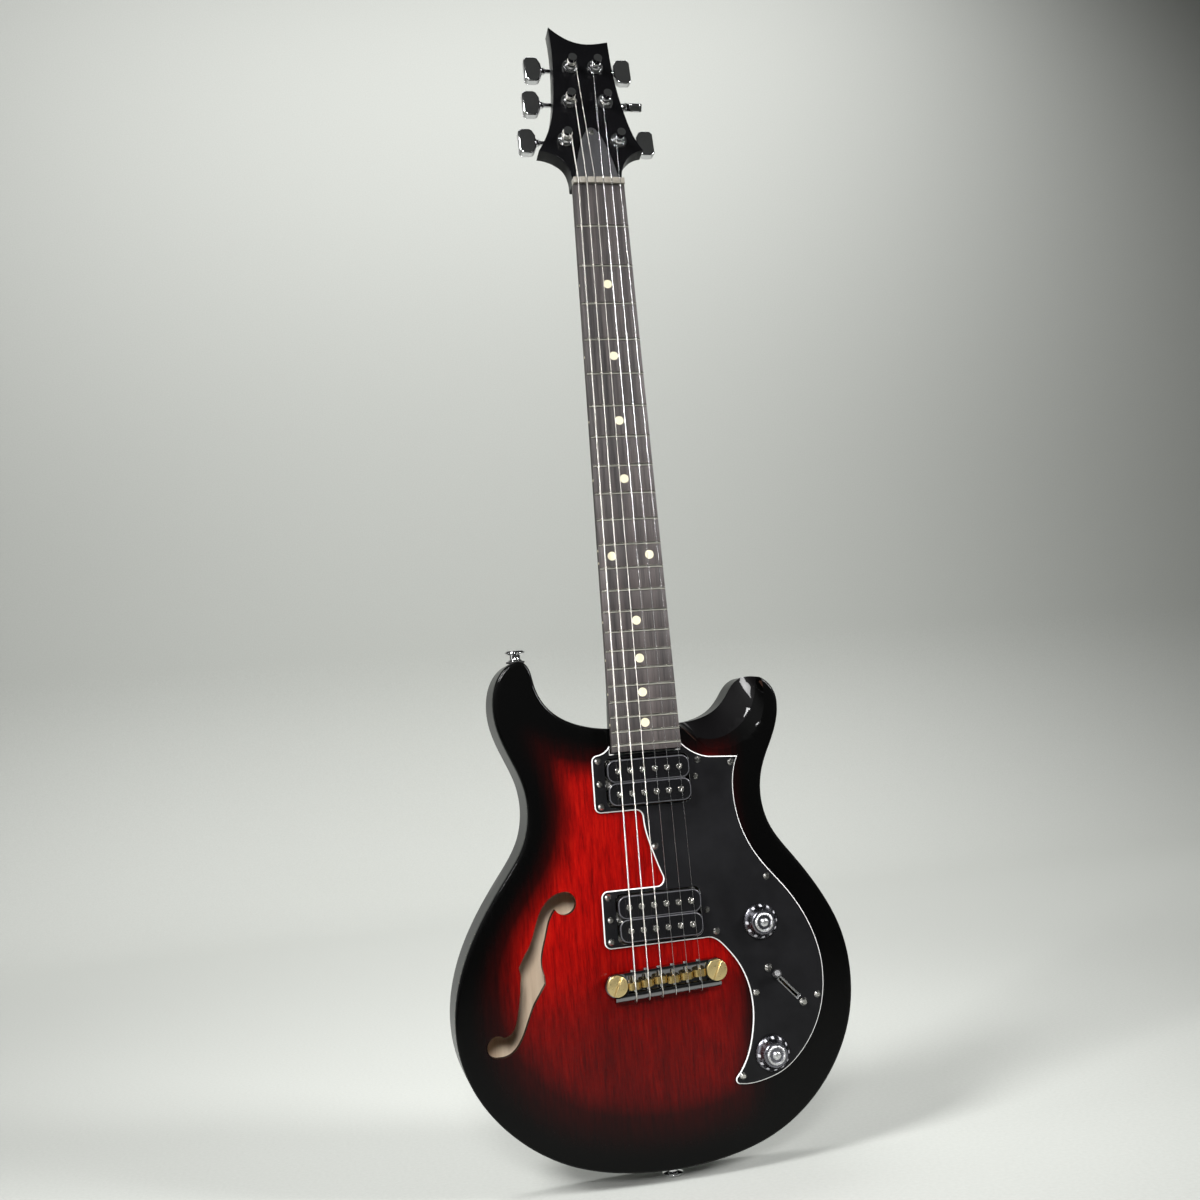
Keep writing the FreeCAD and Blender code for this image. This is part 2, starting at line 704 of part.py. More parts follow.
def bobbin(name, drop):
    """A coil former with rounded ends and six holes for its pole screws."""
    z = NUT_Z - drop
    outline = rounded_box((PICKUP_X, z), size("pickup_width"), size("bobbin_width"), 6.5)
    holes = [disc(x, z, size("pole_radius") + 0.1) for x in pole_xs()]
    return slab(name, [outline] + holes, f"-sizes.body_thickness / 2 - sizes.pickup_lift",
                f"-sizes.body_thickness / 2 - sizes.pickup_lift + sizes.bobbin_height")


def pole(x, drop):
    """A fillister screw through the bobbin, its slot turned across the strings."""
    top = on_body(x, drop, COIL_TOP - 0.7)
    head_piece = rod("sizes.pole_radius", 2.5, top)
    shank = rod(1.5, 15, top + Y * 2.4)
    slot = block(0.7, 1.4, 6, top, Rotation(Y, 35))
    return cut(join([head_piece, shank]), [slot])


magnets, plates, springs, poles = [], [], [], []
for place_name, drop in PICKUP_DROPS.items():
    rows = [drop - ROW_OFFSET, drop + ROW_OFFSET]
    coils = [bobbin(f"{place_name}_coil_{index}", row_drop) for index, row_drop in enumerate(rows)]
    keep(f"{place_name}_pickup_coils", group(coils, f"{place_name}_pickup_coils"))
    poles += [pole(x, row_drop) for row_drop in rows for x in pole_xs()]
    magnets.append(block(62, 3, 12, on_body(PICKUP_X, drop, MAGNET_BACK - 1.5)))
    base = join([
        block(66, 1.2, 36, on_body(PICKUP_X, drop, PLATE_BACK - 0.6)),
        block(84, 1.2, 10, on_body(PICKUP_X, drop, PLATE_BACK - 0.6)),
    ])
    holes = [rod(1.6, 4, on_body(x, row_drop, MAGNET_BACK - 1)) for row_drop in rows for x in pole_xs()]
    holes += [rod(1.4, 4, on_body(x, drop, MAGNET_BACK - 1)) for x in (-38.2, 39.2)]
    plates.append(cut(base, holes))
keep("pickup_poles", group(poles, "pickup_poles"))
keep("pickup_magnets", group(magnets, "pickup_magnets"))
keep("pickup_baseplates", group(plates, "pickup_baseplates"))


def spring(x, drop):
    """A compression spring round a height screw, its turns drawn as separate rings."""
    start = -HALF
    turns = 4
    pitch = (MAGNET_BACK - start) / turns
    rings = []
    for index in range(turns):
        ring = doc.addObject("Part::Torus", "turn")
        ring.Radius1 = 2.3
        ring.Radius2 = 0.4
        ring.Placement = Placement(on_body(x, drop, start + pitch * (index + 0.5)), Rotation(Z, Y))
        rings.append(ring)
    return rings


spring_rings = [ring for x, drop in HEIGHT_SCREWS for ring in spring(x, drop)]
keep("pickup_springs", group(spring_rings, "pickup_springs"))


# ---- Bridge: a slanted bar on two studs, with six sliding saddles -------------------------

BRIDGE = Placement(on_body(0, size("stud_drop")), Rotation(Y, -size("bridge_slant")))
STUD_X = size("stud_spacing") / 2
BAR_HEIGHT = size("bridge_height")
BAR_GAP = size("bridge_gap")
BAR_RADIUS = (BAR_HEIGHT - BAR_GAP) / 2
REAR_Z = -8.3
CHANNEL_HALF = 6.4
LIP_FRONT = 8.8
CHANNEL_FLOOR = 8.2
LIP_TOP = 12.2
SCREW_RISE = 10.2
HOLE_RISE = 6.4
SADDLE_OFFSETS = {6: -1.8, 5: -1.1, 4: -0.4, 3: -1.5, 2: -0.8, 1: -0.1}


def rise(height):
    """Depth in the bridge's own frame of a height above the body."""
    return -height


bar_blank = block(84, BAR_HEIGHT - BAR_GAP, LIP_FRONT - REAR_Z,
                  Vector(0, rise((BAR_HEIGHT + BAR_GAP) / 2), (LIP_FRONT + REAR_Z) / 2))
bar_rear = rod(BAR_RADIUS, 84, Vector(-42, rise(BAR_GAP + BAR_RADIUS), REAR_Z), X)
EAR_TOP = 10.2
bar_ends = [rod(8.7, EAR_TOP - BAR_GAP, Vector(side * STUD_X, rise(EAR_TOP), 0)) for side in (-1, 1)]
bar_tools = [
    block(64, 10, 2 * CHANNEL_HALF, Vector(0, rise(CHANNEL_FLOOR + 5), 0)),
    block(66, 4, 4, Vector(0, rise(LIP_TOP + 2), LIP_FRONT - 0.5)),
]
for side in (-1, 1):
    bar_tools.append(rod(4.3, 20, Vector(side * STUD_X, rise(18), 0)))
    bar_tools.append(rod(9.0, 5, Vector(side * STUD_X, rise(EAR_TOP + 5), 0)))
for number in STRINGS:
    x = string_x(number, "string_spread_bridge")
    bar_tools.append(rod(1.3, 26, Vector(x, rise(HOLE_RISE), -16), Z))
    bar_tools.append(rod(1.4, 12, Vector(x, rise(SCREW_RISE), 0), Z))
keep("bridge_bar", placed(cut(join([bar_blank, bar_rear] + bar_ends), bar_tools, "bridge_bar"), BRIDGE))


def stud(side):
    """A brass stud: slotted head in the bar's counterbore, neck, collar and thread."""
    x = side * STUD_X
    pieces = [
        rod(8.1, 2.9, Vector(x, rise(EAR_TOP + 3.1), 0)),
        rod(3.9, 12, Vector(x, rise(EAR_TOP + 0.4), 0)),
        rod(6.2, 1.6, Vector(x, rise(3.0), 0)),
        rod(3.9, 16, Vector(x, rise(2), 0)),
    ]
    slot = block(20, 2.4, 1.3, Vector(x, rise(EAR_TOP + 3.1), 0), Rotation(Y, -60))
    return placed(cut(join(pieces), [slot]), BRIDGE)


def insert(side):
    x = side * STUD_X
    shell = rod(5.5, 18, Vector(x, rise(0), 0))
    bore = rod(4.0, 20, Vector(x, rise(1), 0))
    return placed(cut(shell, [bore]), BRIDGE)


keep("bridge_studs", group([stud(-1), stud(1)], "bridge_studs"))
keep("stud_inserts", group([insert(-1), insert(1)], "stud_inserts"))


def saddle(number):
    """A brass block with a string groove, threaded on its intonation screw."""
    x = string_x(number, "string_spread_bridge")
    z = SADDLE_OFFSETS[number]
    radius = STRING_RADII[number]
    floor = CHANNEL_FLOOR + 0.1
    middle = Vector(x, rise(floor + size("saddle_height") / 2), z)
    blank = block("sizes.saddle_width", "sizes.saddle_height", "sizes.saddle_length", middle)
    thread = rod(1.4, 12, Vector(x, rise(SCREW_RISE), z - 6), Z)
    groove_rise = floor + size("saddle_height") - 0.5
    groove = rod(radius + 0.5, 12, Vector(x, rise(groove_rise + radius + 0.5), z - 6), Z)
    corners = [
        block(3, 3, 12, Vector(x + side * size("saddle_width") / 2, rise(floor + size("saddle_height")), z),
              Rotation(Z, 45))
        for side in (-1, 1)
    ]
    return placed(cut(blank, [thread, groove] + corners, f"saddle_{number}"), BRIDGE)


for number in STRINGS:
    keep(f"saddle_{number}", saddle(number))


def intonation_screw(number):
    x = string_x(number, "string_spread_bridge")
    head_piece = rod(2.0, 1.5, Vector(x, rise(SCREW_RISE), LIP_FRONT), Z)
    shank = rod(1.1, 15, Vector(x, rise(SCREW_RISE), LIP_FRONT - 14.8), Z)
    return placed(join([head_piece, shank]), BRIDGE)


keep("intonation_screws", group([intonation_screw(number) for number in STRINGS], "intonation_screws"))


# ---- Strings -----------------------------------------------------------------------------

WRAP_RISE = 6.2
SADDLE_TOP = CHANNEL_FLOOR + 0.1 + size("saddle_height")


def post_touch(number):
    """Where a string stops, just short of its turns on the post's side towards the middle."""
    post = POSTS[number]
    radius = STRING_RADII[number]
    reach = size("post_radius") + radius
    x0 = string_x(number, "string_spread_nut")
    inward = 1 if post[0] < 0 else -1
    dx = post[0] - x0
    du = post[1] - 5
    distance = math.hypot(dx, du)
    angle = math.atan2(dx, du)
    swing = math.asin(reach / distance)
    clear_of_turns = math.sqrt((reach + 2 * radius + GAP) ** 2 - reach ** 2)
    run = math.sqrt(distance ** 2 - reach ** 2) - clear_of_turns
    heading = angle + inward * swing
    return Vector(x0 + run * math.sin(heading), -WRAP_RISE, 5 + run * math.cos(heading))


def string(number):
    """One string from the bridge's rear over the saddle and the nut to its post."""
    radius = STRING_RADII[number]
    x = string_x(number, "string_spread_bridge")
    z = SADDLE_OFFSETS[number]
    nut_x = string_x(number, "string_spread_nut")
    top = SADDLE_TOP - 0.5 + radius + 0.5
    local = [
        Vector(x, rise(HOLE_RISE), 2),
        Vector(x, rise(HOLE_RISE), REAR_Z - BAR_RADIUS - 1.0),
        Vector(x, rise(12.2), REAR_Z - BAR_RADIUS - 1.0),
        Vector(x, rise(14.35), REAR_Z - 0.6),
        Vector(x, rise(top), z),
    ]
    points = [BRIDGE.multVec(point) for point in local]
    nut_y = string_y(nut_x, NUT_CLEARANCE, radius)
    points.append(on_body(nut_x, -size("nut_thickness") / 2, nut_y))
    points.append(HEAD.multVec(post_touch(number)))
    return solid(f"string_{number}", tube(rounded_path(points, (1.6, 3.4, 3, 4, 4)), radius))


keep("wound_strings", group([string(number) for number in (6, 5, 4)], "wound_strings"))
keep("plain_strings", group([string(number) for number in (3, 2, 1)], "plain_strings"))


# ---- Tuners: closed gear housings behind the headstock ------------------------------------

HEAD_BACK = size("head_thickness")
KEY_DEPTH = size("key_depth")
KEY_OFFSET = size("key_offset")
WHEEL_RADIUS = 6.4
HOUSING_DEPTH = 11.5
WHEEL_FRONT = HEAD_BACK + 3.6


def outward(number):
    return -1 if POSTS[number][0] < 0 else 1


def housing(number):
    """A cast shell over the worm and the wheel, with a screw lug towards the nut."""
    x, u = POSTS[number]
    side = outward(number)
    middle = Vector(x, HEAD_BACK + HOUSING_DEPTH / 2, u + 3.2)
    shell = join([
        block(19, HOUSING_DEPTH, 15, middle),
        rod(9.5, HOUSING_DEPTH, Vector(x, HEAD_BACK, u - 1)),
        block(7, 2.5, 8, Vector(x, HEAD_BACK + 1.25, u - 12)),
    ])
    room = [
        rod(WHEEL_RADIUS + 0.5, 6.4, Vector(x, WHEEL_FRONT - 0.4, u)),
        rod(3.3, 14, Vector(x - 7, KEY_DEPTH, u + KEY_OFFSET - 0.8), X),
        rod("sizes.post_radius + sizes.running_gap", 6, Vector(x, HEAD_BACK - 1, u)),
        rod(2.0 + GAP, 12, Vector(x + side * 5, KEY_DEPTH, u + KEY_OFFSET - 0.8), Vector(side, 0, 0)),
        rod(1.5, 6, Vector(x, HEAD_BACK - 1, u - 13.2)),
    ]
    return placed(cut(shell, room), HEAD)


def bushing(number):
    """A threaded sleeve through the headstock with its washer and domed hexagon nut."""
    x, u = POSTS[number]
    hexagon = doc.addObject("Part::Prism", "hexagon")
    hexagon.Polygon = 6
    hexagon.Circumradius = 6.0
    hexagon.Height = 2.4
    hexagon.Placement = Placement(Vector(x, -3.4, u), Rotation(Z, Y))
    sleeve = join([
        hexagon,
        rod(6.8, 1.0, Vector(x, -1.0, u)),
        rod("sizes.bushing_radius", 13, Vector(x, -1.0, u)),
        rod(4.4, 1.2, Vector(x, -4.6, u), Y, 5.2),
    ])
    bore = rod("sizes.post_radius + sizes.running_gap", 24, Vector(x, -8, u))
    return placed(cut(sleeve, [bore]), HEAD)


def tuner_post(number):
    """A string post with its worm wheel and the turns of string wound on it."""
    x, u = POSTS[number]
    radius = STRING_RADII[number]
    top = size("post_length")
    pieces = [
        rod("sizes.post_radius", top - 3 + WHEEL_FRONT, Vector(x, -top + 3, u)),
        rod(3.6, 3, Vector(x, -top, u), Y, 3.6),
        rod(WHEEL_RADIUS, 4.6, Vector(x, WHEEL_FRONT, u)),
    ]
    waist_cut = rod(0.9, 12, Vector(x - 6, -top + 4.4, u), X)
    post = cut(join(pieces), [waist_cut])
    rings = []
    turns = 4
    for index in range(turns):
        ring = doc.addObject("Part::Torus", "winding")
        ring.Radius1 = size("post_radius") + radius
        ring.Radius2 = radius * 0.98
        depth = -WRAP_RISE - index * 2 * radius
        ring.Placement = Placement(Vector(x, depth, u), Rotation(Z, Y))
        rings.append(ring)
    return placed(group([post] + rings, f"tuner_post_{number}"), HEAD)


def tuner_key(number, turned=False):
    """A shaft with its worm and a faceted metal button."""
    x, u = POSTS[number]
    side = outward(number)
    centre = Vector(x, KEY_DEPTH, u + KEY_OFFSET - 0.8)
    out = Vector(side, 0, 0)
    worm = rod(3.0, 9, centre - X * 4.5, X)
    shaft_piece = rod(2.0, 19, centre + out * 4.4, out)
    collar = rod(2.8, 2.5, centre + out * 18.4, out, 3.4)
    button_outline = chain(
        (21, -5.5), (23.6, -10.6), (26, -11.8), (33.4, -11.8), (35.8, -9.2), (35.8, 9.2), (33.4, 11.8),
        (26, 11.8), (23.6, 10.6), (21, 5.5), (21, -5.5), place=flat)
    button = slab(f"button_{number}", [button_outline], "-3.6", "3.6", "1.2", "-3.6")
    spin = Rotation(X, 126) if turned else Rotation()
    flip = Rotation(Z, 180) if side < 0 else Rotation()
    button.Placement = Placement(centre, spin.multiply(flip))
    return placed(join([worm, shaft_piece, collar, button], f"tuner_key_{number}"), HEAD)


keep("tuner_housings", group([housing(number) for number in STRINGS], "tuner_housings"))
keep("tuner_bushings", group([bushing(number) for number in STRINGS], "tuner_bushings"))
for number in STRINGS:
    keep(f"tuner_post_{number}", tuner_post(number))
    keep(f"tuner_key_{number}", tuner_key(number, number == 2))

head_screws = [
    placed(screw(2.4, 1.1, 1.1, 8, Vector(x, -size("cover_thickness"), u)), HEAD) for x, u in COVER_SCREWS
]
head_screws += [
    placed(screw(2.4, 1.1, 1.1, 9, Vector(x, HEAD_BACK + 2.5, u - 13.2), -Y), HEAD) for x, u in POSTS.values()
]
keep("headstock_screws", group(head_screws, "headstock_screws"))


# ---- Controls ----------------------------------------------------------------------------

KNOB_GAP = 0.8
POT_DEPTH = 9.0


def knob(name, drop):
    """A skirted knob, hollow for the shaft, with a raised crown."""
    low = GUARD_Y - KNOB_GAP
    height = size("knob_height")
    pieces = [
        rod("sizes.knob_radius", 2.4, on_body(KNOB_X, drop, low), -Y),
        rod("sizes.knob_radius - 0.6", height - 4.4, on_body(KNOB_X, drop, low - 2.4), -Y,
            "sizes.knob_radius - 4.4"),
        rod(7.0, 2, on_body(KNOB_X, drop, low - height + 2), -Y, 6.4),
    ]
    bore = rod("sizes.shaft_radius", 9, on_body(KNOB_X, drop, low + 1), -Y)
    room = rod(6.4, 3.4, on_body(KNOB_X, drop, low + 1), -Y)
    return keep(name, cut(join(pieces), [bore, room], name))


def control_shaft(name, drop):
    far = GUARD_Y + 9
    return keep(name, join([
        rod("sizes.shaft_radius", 9 + KNOB_GAP + 7.8, on_body(KNOB_X, drop, far), -Y),
        rod(5.2, 1, on_body(KNOB_X, drop, far + 1), -Y),
    ], name))


def pot(drop):
    """A potentiometer: a can behind the guard, a threaded neck through it and a nut."""
    at = on_body(KNOB_X, drop, -HALF)
    can = rod("sizes.pot_radius", POT_DEPTH, at + Y * 0.05)
    neck_piece = rod(4.7, 4.4, at + Y * 0.1, -Y)
    nut_ring = rod(5.9, 1.4, Vector(at.x, GUARD_Y, at.z), -Y)
    room = rod(5.8, 4.6, at + Y * 3.4)
    bore = rod("sizes.shaft_radius + sizes.running_gap", 12, at - Y * 6)
    lugs = block(12, 1, 14, at + Vector(0, POT_DEPTH, 6))
    return cut(join([can, neck_piece, nut_ring, lugs]), [room, bore])


knob("volume_knob", KNOB_DROPS[0])
knob("tone_knob", KNOB_DROPS[1])
control_shaft("volume_shaft", KNOB_DROPS[0])
control_shaft("tone_shaft", KNOB_DROPS[1])
keep("control_pots", group([pot(drop) for drop in KNOB_DROPS], "control_pots"))

PIVOT_Y = GUARD_Y + size("lever_pivot_depth")
PIVOT = Vector(SWITCH_MIDDLE.x, PIVOT_Y, SWITCH_MIDDLE.z)
SWITCH = Placement(PIVOT, SWITCH_TURN)
LEVER = Placement(PIVOT, SWITCH_TURN.multiply(Rotation(Z, -size("lever_angle"))))
PLATE_Y = -HALF + 0.05 - PIVOT_Y

frame_plate = block(44, 1.2, 11, Vector(0, PLATE_Y + 0.6, 0))
frame_cheeks = [block(30, 22, 1.0, Vector(0, PLATE_Y + 12, side * 4.2)) for side in (-1, 1)]
pivot_pin = rod(1.4, 9.4, Vector(0, 0, -4.7), Z)
plate_slot = block(27, 6, 2.0, Vector(0, PLATE_Y, 0))
tapped = [rod(1.7, 6, Vector(side * 19.69, PLATE_Y - 2, 0)) for side in (-1, 1)]
frame_piece = cut(join([frame_plate] + frame_cheeks + [pivot_pin]), [plate_slot] + tapped, "switch_frame")
keep("switch_frame", placed(frame_piece, SWITCH))

lever_reach = size("lever_pivot_depth") + 13
lever_blade = block(4.6, lever_reach - 3, 1.3, Vector(0, -(lever_reach - 3) / 2 - 3, 0))
lever_hub = rod(4.6, 4.2, Vector(0, 0, -2.1), Z)
hub_bore = rod(1.4 + GAP, 8, Vector(0, 0, -4), Z)
keep("switch_lever", placed(cut(join([lever_blade, lever_hub]), [hub_bore], "switch_lever"), LEVER))
tip_low = size("lever_pivot_depth") + 5
tip = join([
    rod(2.6, 9, Vector(0, -tip_low, 0), -Y, 3.4),
    rod(3.4, 1.6, Vector(0, -tip_low - 9, 0), -Y, 2.2),
])
blade_socket = block(4.6, lever_reach - 3, 1.3, Vector(0, -(lever_reach - 3) / 2 - 3, 0))
keep("switch_tip", placed(cut(tip, [blade_socket], "switch_tip"), LEVER))

jack_flange = rod(11.4, 1.4, JACK_SEAT - JACK_OUT * 1.2, JACK_OUT)
jack_wall = rod(9.4, 12, JACK_SEAT - JACK_OUT * 13, JACK_OUT)
jack_room = rod(8.2, 12, JACK_SEAT - JACK_OUT * 10.4, JACK_OUT)
jack_hole = rod(4.8, 8, JACK_SEAT - JACK_OUT * 16, JACK_OUT)
keep("jack_cup", cut(join([jack_flange, jack_wall]), [jack_room, jack_hole], "jack_cup"))
JACK_MOUTH = JACK_SEAT - JACK_OUT * 5.5
jack_sleeve = rod(4.7, 13, JACK_MOUTH - JACK_OUT * 13, JACK_OUT)
jack_nut = rod(6.4, 2.2, JACK_MOUTH - JACK_OUT * 4.85, JACK_OUT)
jack_body = rod(8.6, 24, JACK_MOUTH - JACK_OUT * 31.6, JACK_OUT)
jack_bore_end = JACK_MOUTH - JACK_OUT * size("jack_bore_length")
jack_bore = rod("sizes.jack_bore_radius", "sizes.jack_bore_length + 1", jack_bore_end, JACK_OUT)
jack_inside = rod(6.4, 22, JACK_MOUTH - JACK_OUT * 30.6, JACK_OUT)
keep("output_jack", cut(join([jack_sleeve, jack_nut, jack_body]), [jack_bore, jack_inside], "output_jack"))


# ---- Strap buttons -----------------------------------------------------------------------

HORN_SEAT = on_body(-93.5, 385.3, 0)
FELT = 1.2


def strap_button(seat, out):
    """A turned button: a foot on the felt, a waist for the strap and a wide flange."""
    flange = size("button_radius")
    steps = (
        (FELT, 1.6, 6.0, 5.0), (FELT + 1.6, 3.6, 4.2, 4.2),
        (FELT + 5.2, 1.2, 4.2, flange), (FELT + 6.4, 1.9, flange, flange - 1),
    )
    pieces = [rod(near, length, seat + out * start, out, far) for start, length, near, far in steps]
    bore = rod(2.3, 12, seat, out)
    sink = rod(2.3, 2.2, seat + out * (FELT + 6.2), out, 4.2)
    return cut(join(pieces), [bore, sink])


def strap_screw(seat, out):
    top = seat + out * (FELT + 8)
    head_piece = rod(3.9, 1.7, top, -out, 2.1)
    shank = rod(2.1, 28, top - out * 1.6, -out)
    return join([head_piece, shank])


def felt(seat, out):
    return cut(rod(7.4, FELT, seat, out), [rod(2.4, 4, seat - out, out)])


END_SEAT = Vector(0, 0, 0)
seats = ((HORN_SEAT, Z), (END_SEAT, -Z))
keep("strap_buttons", group([strap_button(seat, out) for seat, out in seats], "strap_buttons"))
keep("strap_screws", group([strap_screw(seat, out) for seat, out in seats], "strap_screws"))
keep("strap_felts", group([felt(seat, out) for seat, out in seats], "strap_felts"))


# ---- Check and write ---------------------------------------------------------------------

doc.recompute()
broken = [thing.Name for thing in doc.Objects if {"Invalid", "Error"} & set(thing.State)]
for label, thing in nodes.items():
    if thing.Shape.isNull() or not thing.Shape.isValid() or not thing.Shape.Solids:
        broken.append(label)
if broken:
    raise RuntimeError("failed pieces: " + ", ".join(broken))

os.makedirs("parts", exist_ok=True)
for label, thing in nodes.items():
    thing.Shape.exportStep(f"parts/{label}.step")
print(len(nodes), "pieces written")
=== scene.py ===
import math

import bmesh
import bpy
from mathutils import Matrix, Vector
from mathutils.bvhtree import BVHTree
from mathutils.geometry import delaunay_2d_cdt


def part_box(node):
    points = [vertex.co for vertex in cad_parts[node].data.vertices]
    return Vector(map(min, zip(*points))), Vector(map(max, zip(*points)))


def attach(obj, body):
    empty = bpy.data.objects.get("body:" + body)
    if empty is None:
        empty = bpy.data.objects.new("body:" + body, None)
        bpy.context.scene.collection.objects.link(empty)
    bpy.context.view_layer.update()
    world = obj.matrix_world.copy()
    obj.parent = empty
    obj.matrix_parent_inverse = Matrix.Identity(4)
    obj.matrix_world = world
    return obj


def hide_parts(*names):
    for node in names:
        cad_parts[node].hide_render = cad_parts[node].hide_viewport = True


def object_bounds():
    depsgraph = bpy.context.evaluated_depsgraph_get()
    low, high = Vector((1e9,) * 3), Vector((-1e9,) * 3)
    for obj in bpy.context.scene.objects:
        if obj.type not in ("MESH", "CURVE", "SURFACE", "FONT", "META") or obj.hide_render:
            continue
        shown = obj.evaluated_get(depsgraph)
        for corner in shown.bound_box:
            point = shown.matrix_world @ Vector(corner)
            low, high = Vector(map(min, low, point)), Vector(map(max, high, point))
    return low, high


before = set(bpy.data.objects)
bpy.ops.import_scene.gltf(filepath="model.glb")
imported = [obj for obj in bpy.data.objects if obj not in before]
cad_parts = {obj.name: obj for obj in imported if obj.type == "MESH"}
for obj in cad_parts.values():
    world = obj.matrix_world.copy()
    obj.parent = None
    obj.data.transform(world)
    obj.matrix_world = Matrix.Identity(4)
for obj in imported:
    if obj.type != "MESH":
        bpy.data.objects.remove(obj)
cad_low, cad_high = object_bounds()
MM = 0.001


# ---- Top plate ---------------------------------------------------------------------------
# A 6 mm mahogany cap glued on the body, sprayed black from the edge inwards over a cherry
# stain, then buried in clear lacquer. The f-shaped hole is sawn through it before spraying.
# The cherry is also made darker towards the bottom of the body, which is painted shade.

def finish_nodes(name, metal=0.0, gloss=0.4, coat=0.0, coat_gloss=0.03):
    """A new node material, with its even values on the shader's own sockets."""
    mat = bpy.data.materials.new(name)
    mat.use_nodes = True
    tree = mat.node_tree
    shader = tree.nodes["Principled BSDF"]
    shader.inputs["Metallic"].default_value = metal
    shader.inputs["Roughness"].default_value = gloss
    shader.inputs["Coat Weight"].default_value = coat
    shader.inputs["Coat Roughness"].default_value = coat_gloss
    if coat:
        shader.inputs["Coat IOR"].default_value = 1.42
        shader.inputs["Specular IOR Level"].default_value = 0.03
    return mat, tree, shader


def wire(tree, kind, sockets=None, **settings):
    """One node, its settings, and its inputs as links or plain values."""
    node = tree.nodes.new(kind)
    for key, value in settings.items():
        setattr(node, key, value)
    for key, value in (sockets or {}).items():
        if isinstance(value, bpy.types.NodeSocket):
            tree.links.new(value, node.inputs[key])
        else:
            node.inputs[key].default_value = value
    return node


def ramp(tree, factor, *stops):
    """A colour ramp over a factor: each stop is a place and a colour."""
    node = tree.nodes.new("ShaderNodeValToRGB")
    tree.links.new(factor, node.inputs["Fac"])
    bands = node.color_ramp.elements
    while len(bands) < len(stops):
        bands.new(0.5)
    for band, (place, colour) in zip(bands, stops):
        band.position = place
        band.color = (*colour, 1) if len(colour) == 3 else colour
    return node.outputs["Color"]


def grain(tree, scale, stretch, detail=6.0, roughness=0.6, distortion=0.0):
    """Noise in the piece's own space, drawn out along the grain."""
    place = wire(tree, "ShaderNodeTexCoord")
    mapped = wire(tree, "ShaderNodeMapping", {"Vector": place.outputs["Object"], "Scale": stretch})
    noise = wire(tree, "ShaderNodeTexNoise", {
        "Vector": mapped.outputs["Vector"], "Scale": scale, "Detail": detail,
        "Roughness": roughness, "Distortion": distortion})
    return noise.outputs["Fac"]


def relief(tree, shader, height, strength, depth):
    """A bump on the base layer."""
    bump = wire(tree, "ShaderNodeBump", {"Height": height, "Strength": strength, "Distance": depth})
    tree.links.new(bump.outputs["Normal"], shader.inputs["Normal"])


def blend_colours(tree, factor, first, second, how="MIX"):
    """Two colours mixed, each of them a link or a plain colour."""
    mix = wire(tree, "ShaderNodeMix", data_type="RGBA", blend_type=how)
    for socket, value in ((mix.inputs["Factor"], factor), (mix.inputs[6], first), (mix.inputs[7], second)):
        if isinstance(value, bpy.types.NodeSocket):
            tree.links.new(value, socket)
        elif isinstance(value, tuple):
            socket.default_value = (*value, 1)
        else:
            socket.default_value = value
    return mix.outputs[2]


def made_from(node, name, body, soften=0.0, angle=35.0, keep_edge=None, clamp=True):
    """A finer piece from a CAD node: doubled points joined, edges eased, shading smoothed."""
    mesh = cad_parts[node].data.copy()
    piece = bpy.data.objects.new(name, mesh)
    bpy.context.scene.collection.objects.link(piece)
    work = bmesh.new()
    work.from_mesh(mesh)
    bmesh.ops.remove_doubles(work, verts=work.verts, dist=0.004 * MM)
    bmesh.ops.dissolve_degenerate(work, edges=work.edges, dist=0.002 * MM)
    if soften:
        bmesh.ops.dissolve_limit(
            work, angle_limit=math.radians(0.5), verts=work.verts, edges=work.edges)
        sharp = [edge for edge in work.edges if len(edge.link_faces) == 2
                 and edge.calc_face_angle(0) > math.radians(angle)
                 and (keep_edge is None or keep_edge(edge))]
        bmesh.ops.bevel(
            work, geom=sharp, offset=soften * MM, segments=3, profile=0.5,
            affect="EDGES", clamp_overlap=clamp, harden_normals=False)
    bmesh.ops.triangulate(work, faces=[face for face in work.faces if len(face.verts) > 4])
    for face in work.faces:
        face.smooth = True
    for edge in work.edges:
        if len(edge.link_faces) == 2:
            edge.smooth = edge.calc_face_angle(0) < math.radians(angle)
    work.to_mesh(mesh)
    work.free()
    if mesh.has_custom_normals:
        mesh.normals_split_custom_set([(0, 0, 0)] * len(mesh.loops))
    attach(piece, body)
    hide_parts(node)
    return piece


def wear(piece, *materials, slot):
    """Put on the finish; the slot argument is not used."""
    places = [face.material_index for face in piece.data.polygons]
    piece.data.materials.clear()
    for mat in materials:
        piece.data.materials.append(mat)
    piece.data.polygons.foreach_set("material_index", places if len(materials) > 1 else [0] * len(places))


def outer_wall():
    """The body's outline as an upright fence, to measure how far in a point lies."""
    fence = bmesh.new()
    work = bmesh.new()
    work.from_mesh(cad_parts["body_core"].data)
    for face in work.faces:
        middle = face.calc_center_median()
        if abs(face.normal.y) < 0.1 and middle.y > 12 * MM:
            flat = {(round(v.co.x, 6), round(v.co.z, 6)) for v in face.verts}
            if len(flat) == 2:
                (x0, z0), (x1, z1) = flat
                corners = [fence.verts.new(p) for p in (
                    (x0, -0.1, z0), (x1, -0.1, z1), (x1, 0.1, z1), (x0, 0.1, z0))]
                fence.faces.new(corners)
    work.free()
    tree = BVHTree.FromBMesh(fence)
    fence.free()
    return tree


wall = outer_wall()


def inset(point):
    """How far in from the body's outline a point lies, in millimetres."""
    return wall.find_nearest(point)[3] / MM


def ease(value, start, end):
    """From 0 to 1 between two values, with a soft start and end."""
    t = min(max((value - start) / (end - start), 0), 1)
    return t * t * (3 - 2 * t)


BLACK_RIM = 9
FADE = 36
LOW_FADE = 22
HORN_ROOT = 352
HORN_FADE = 62


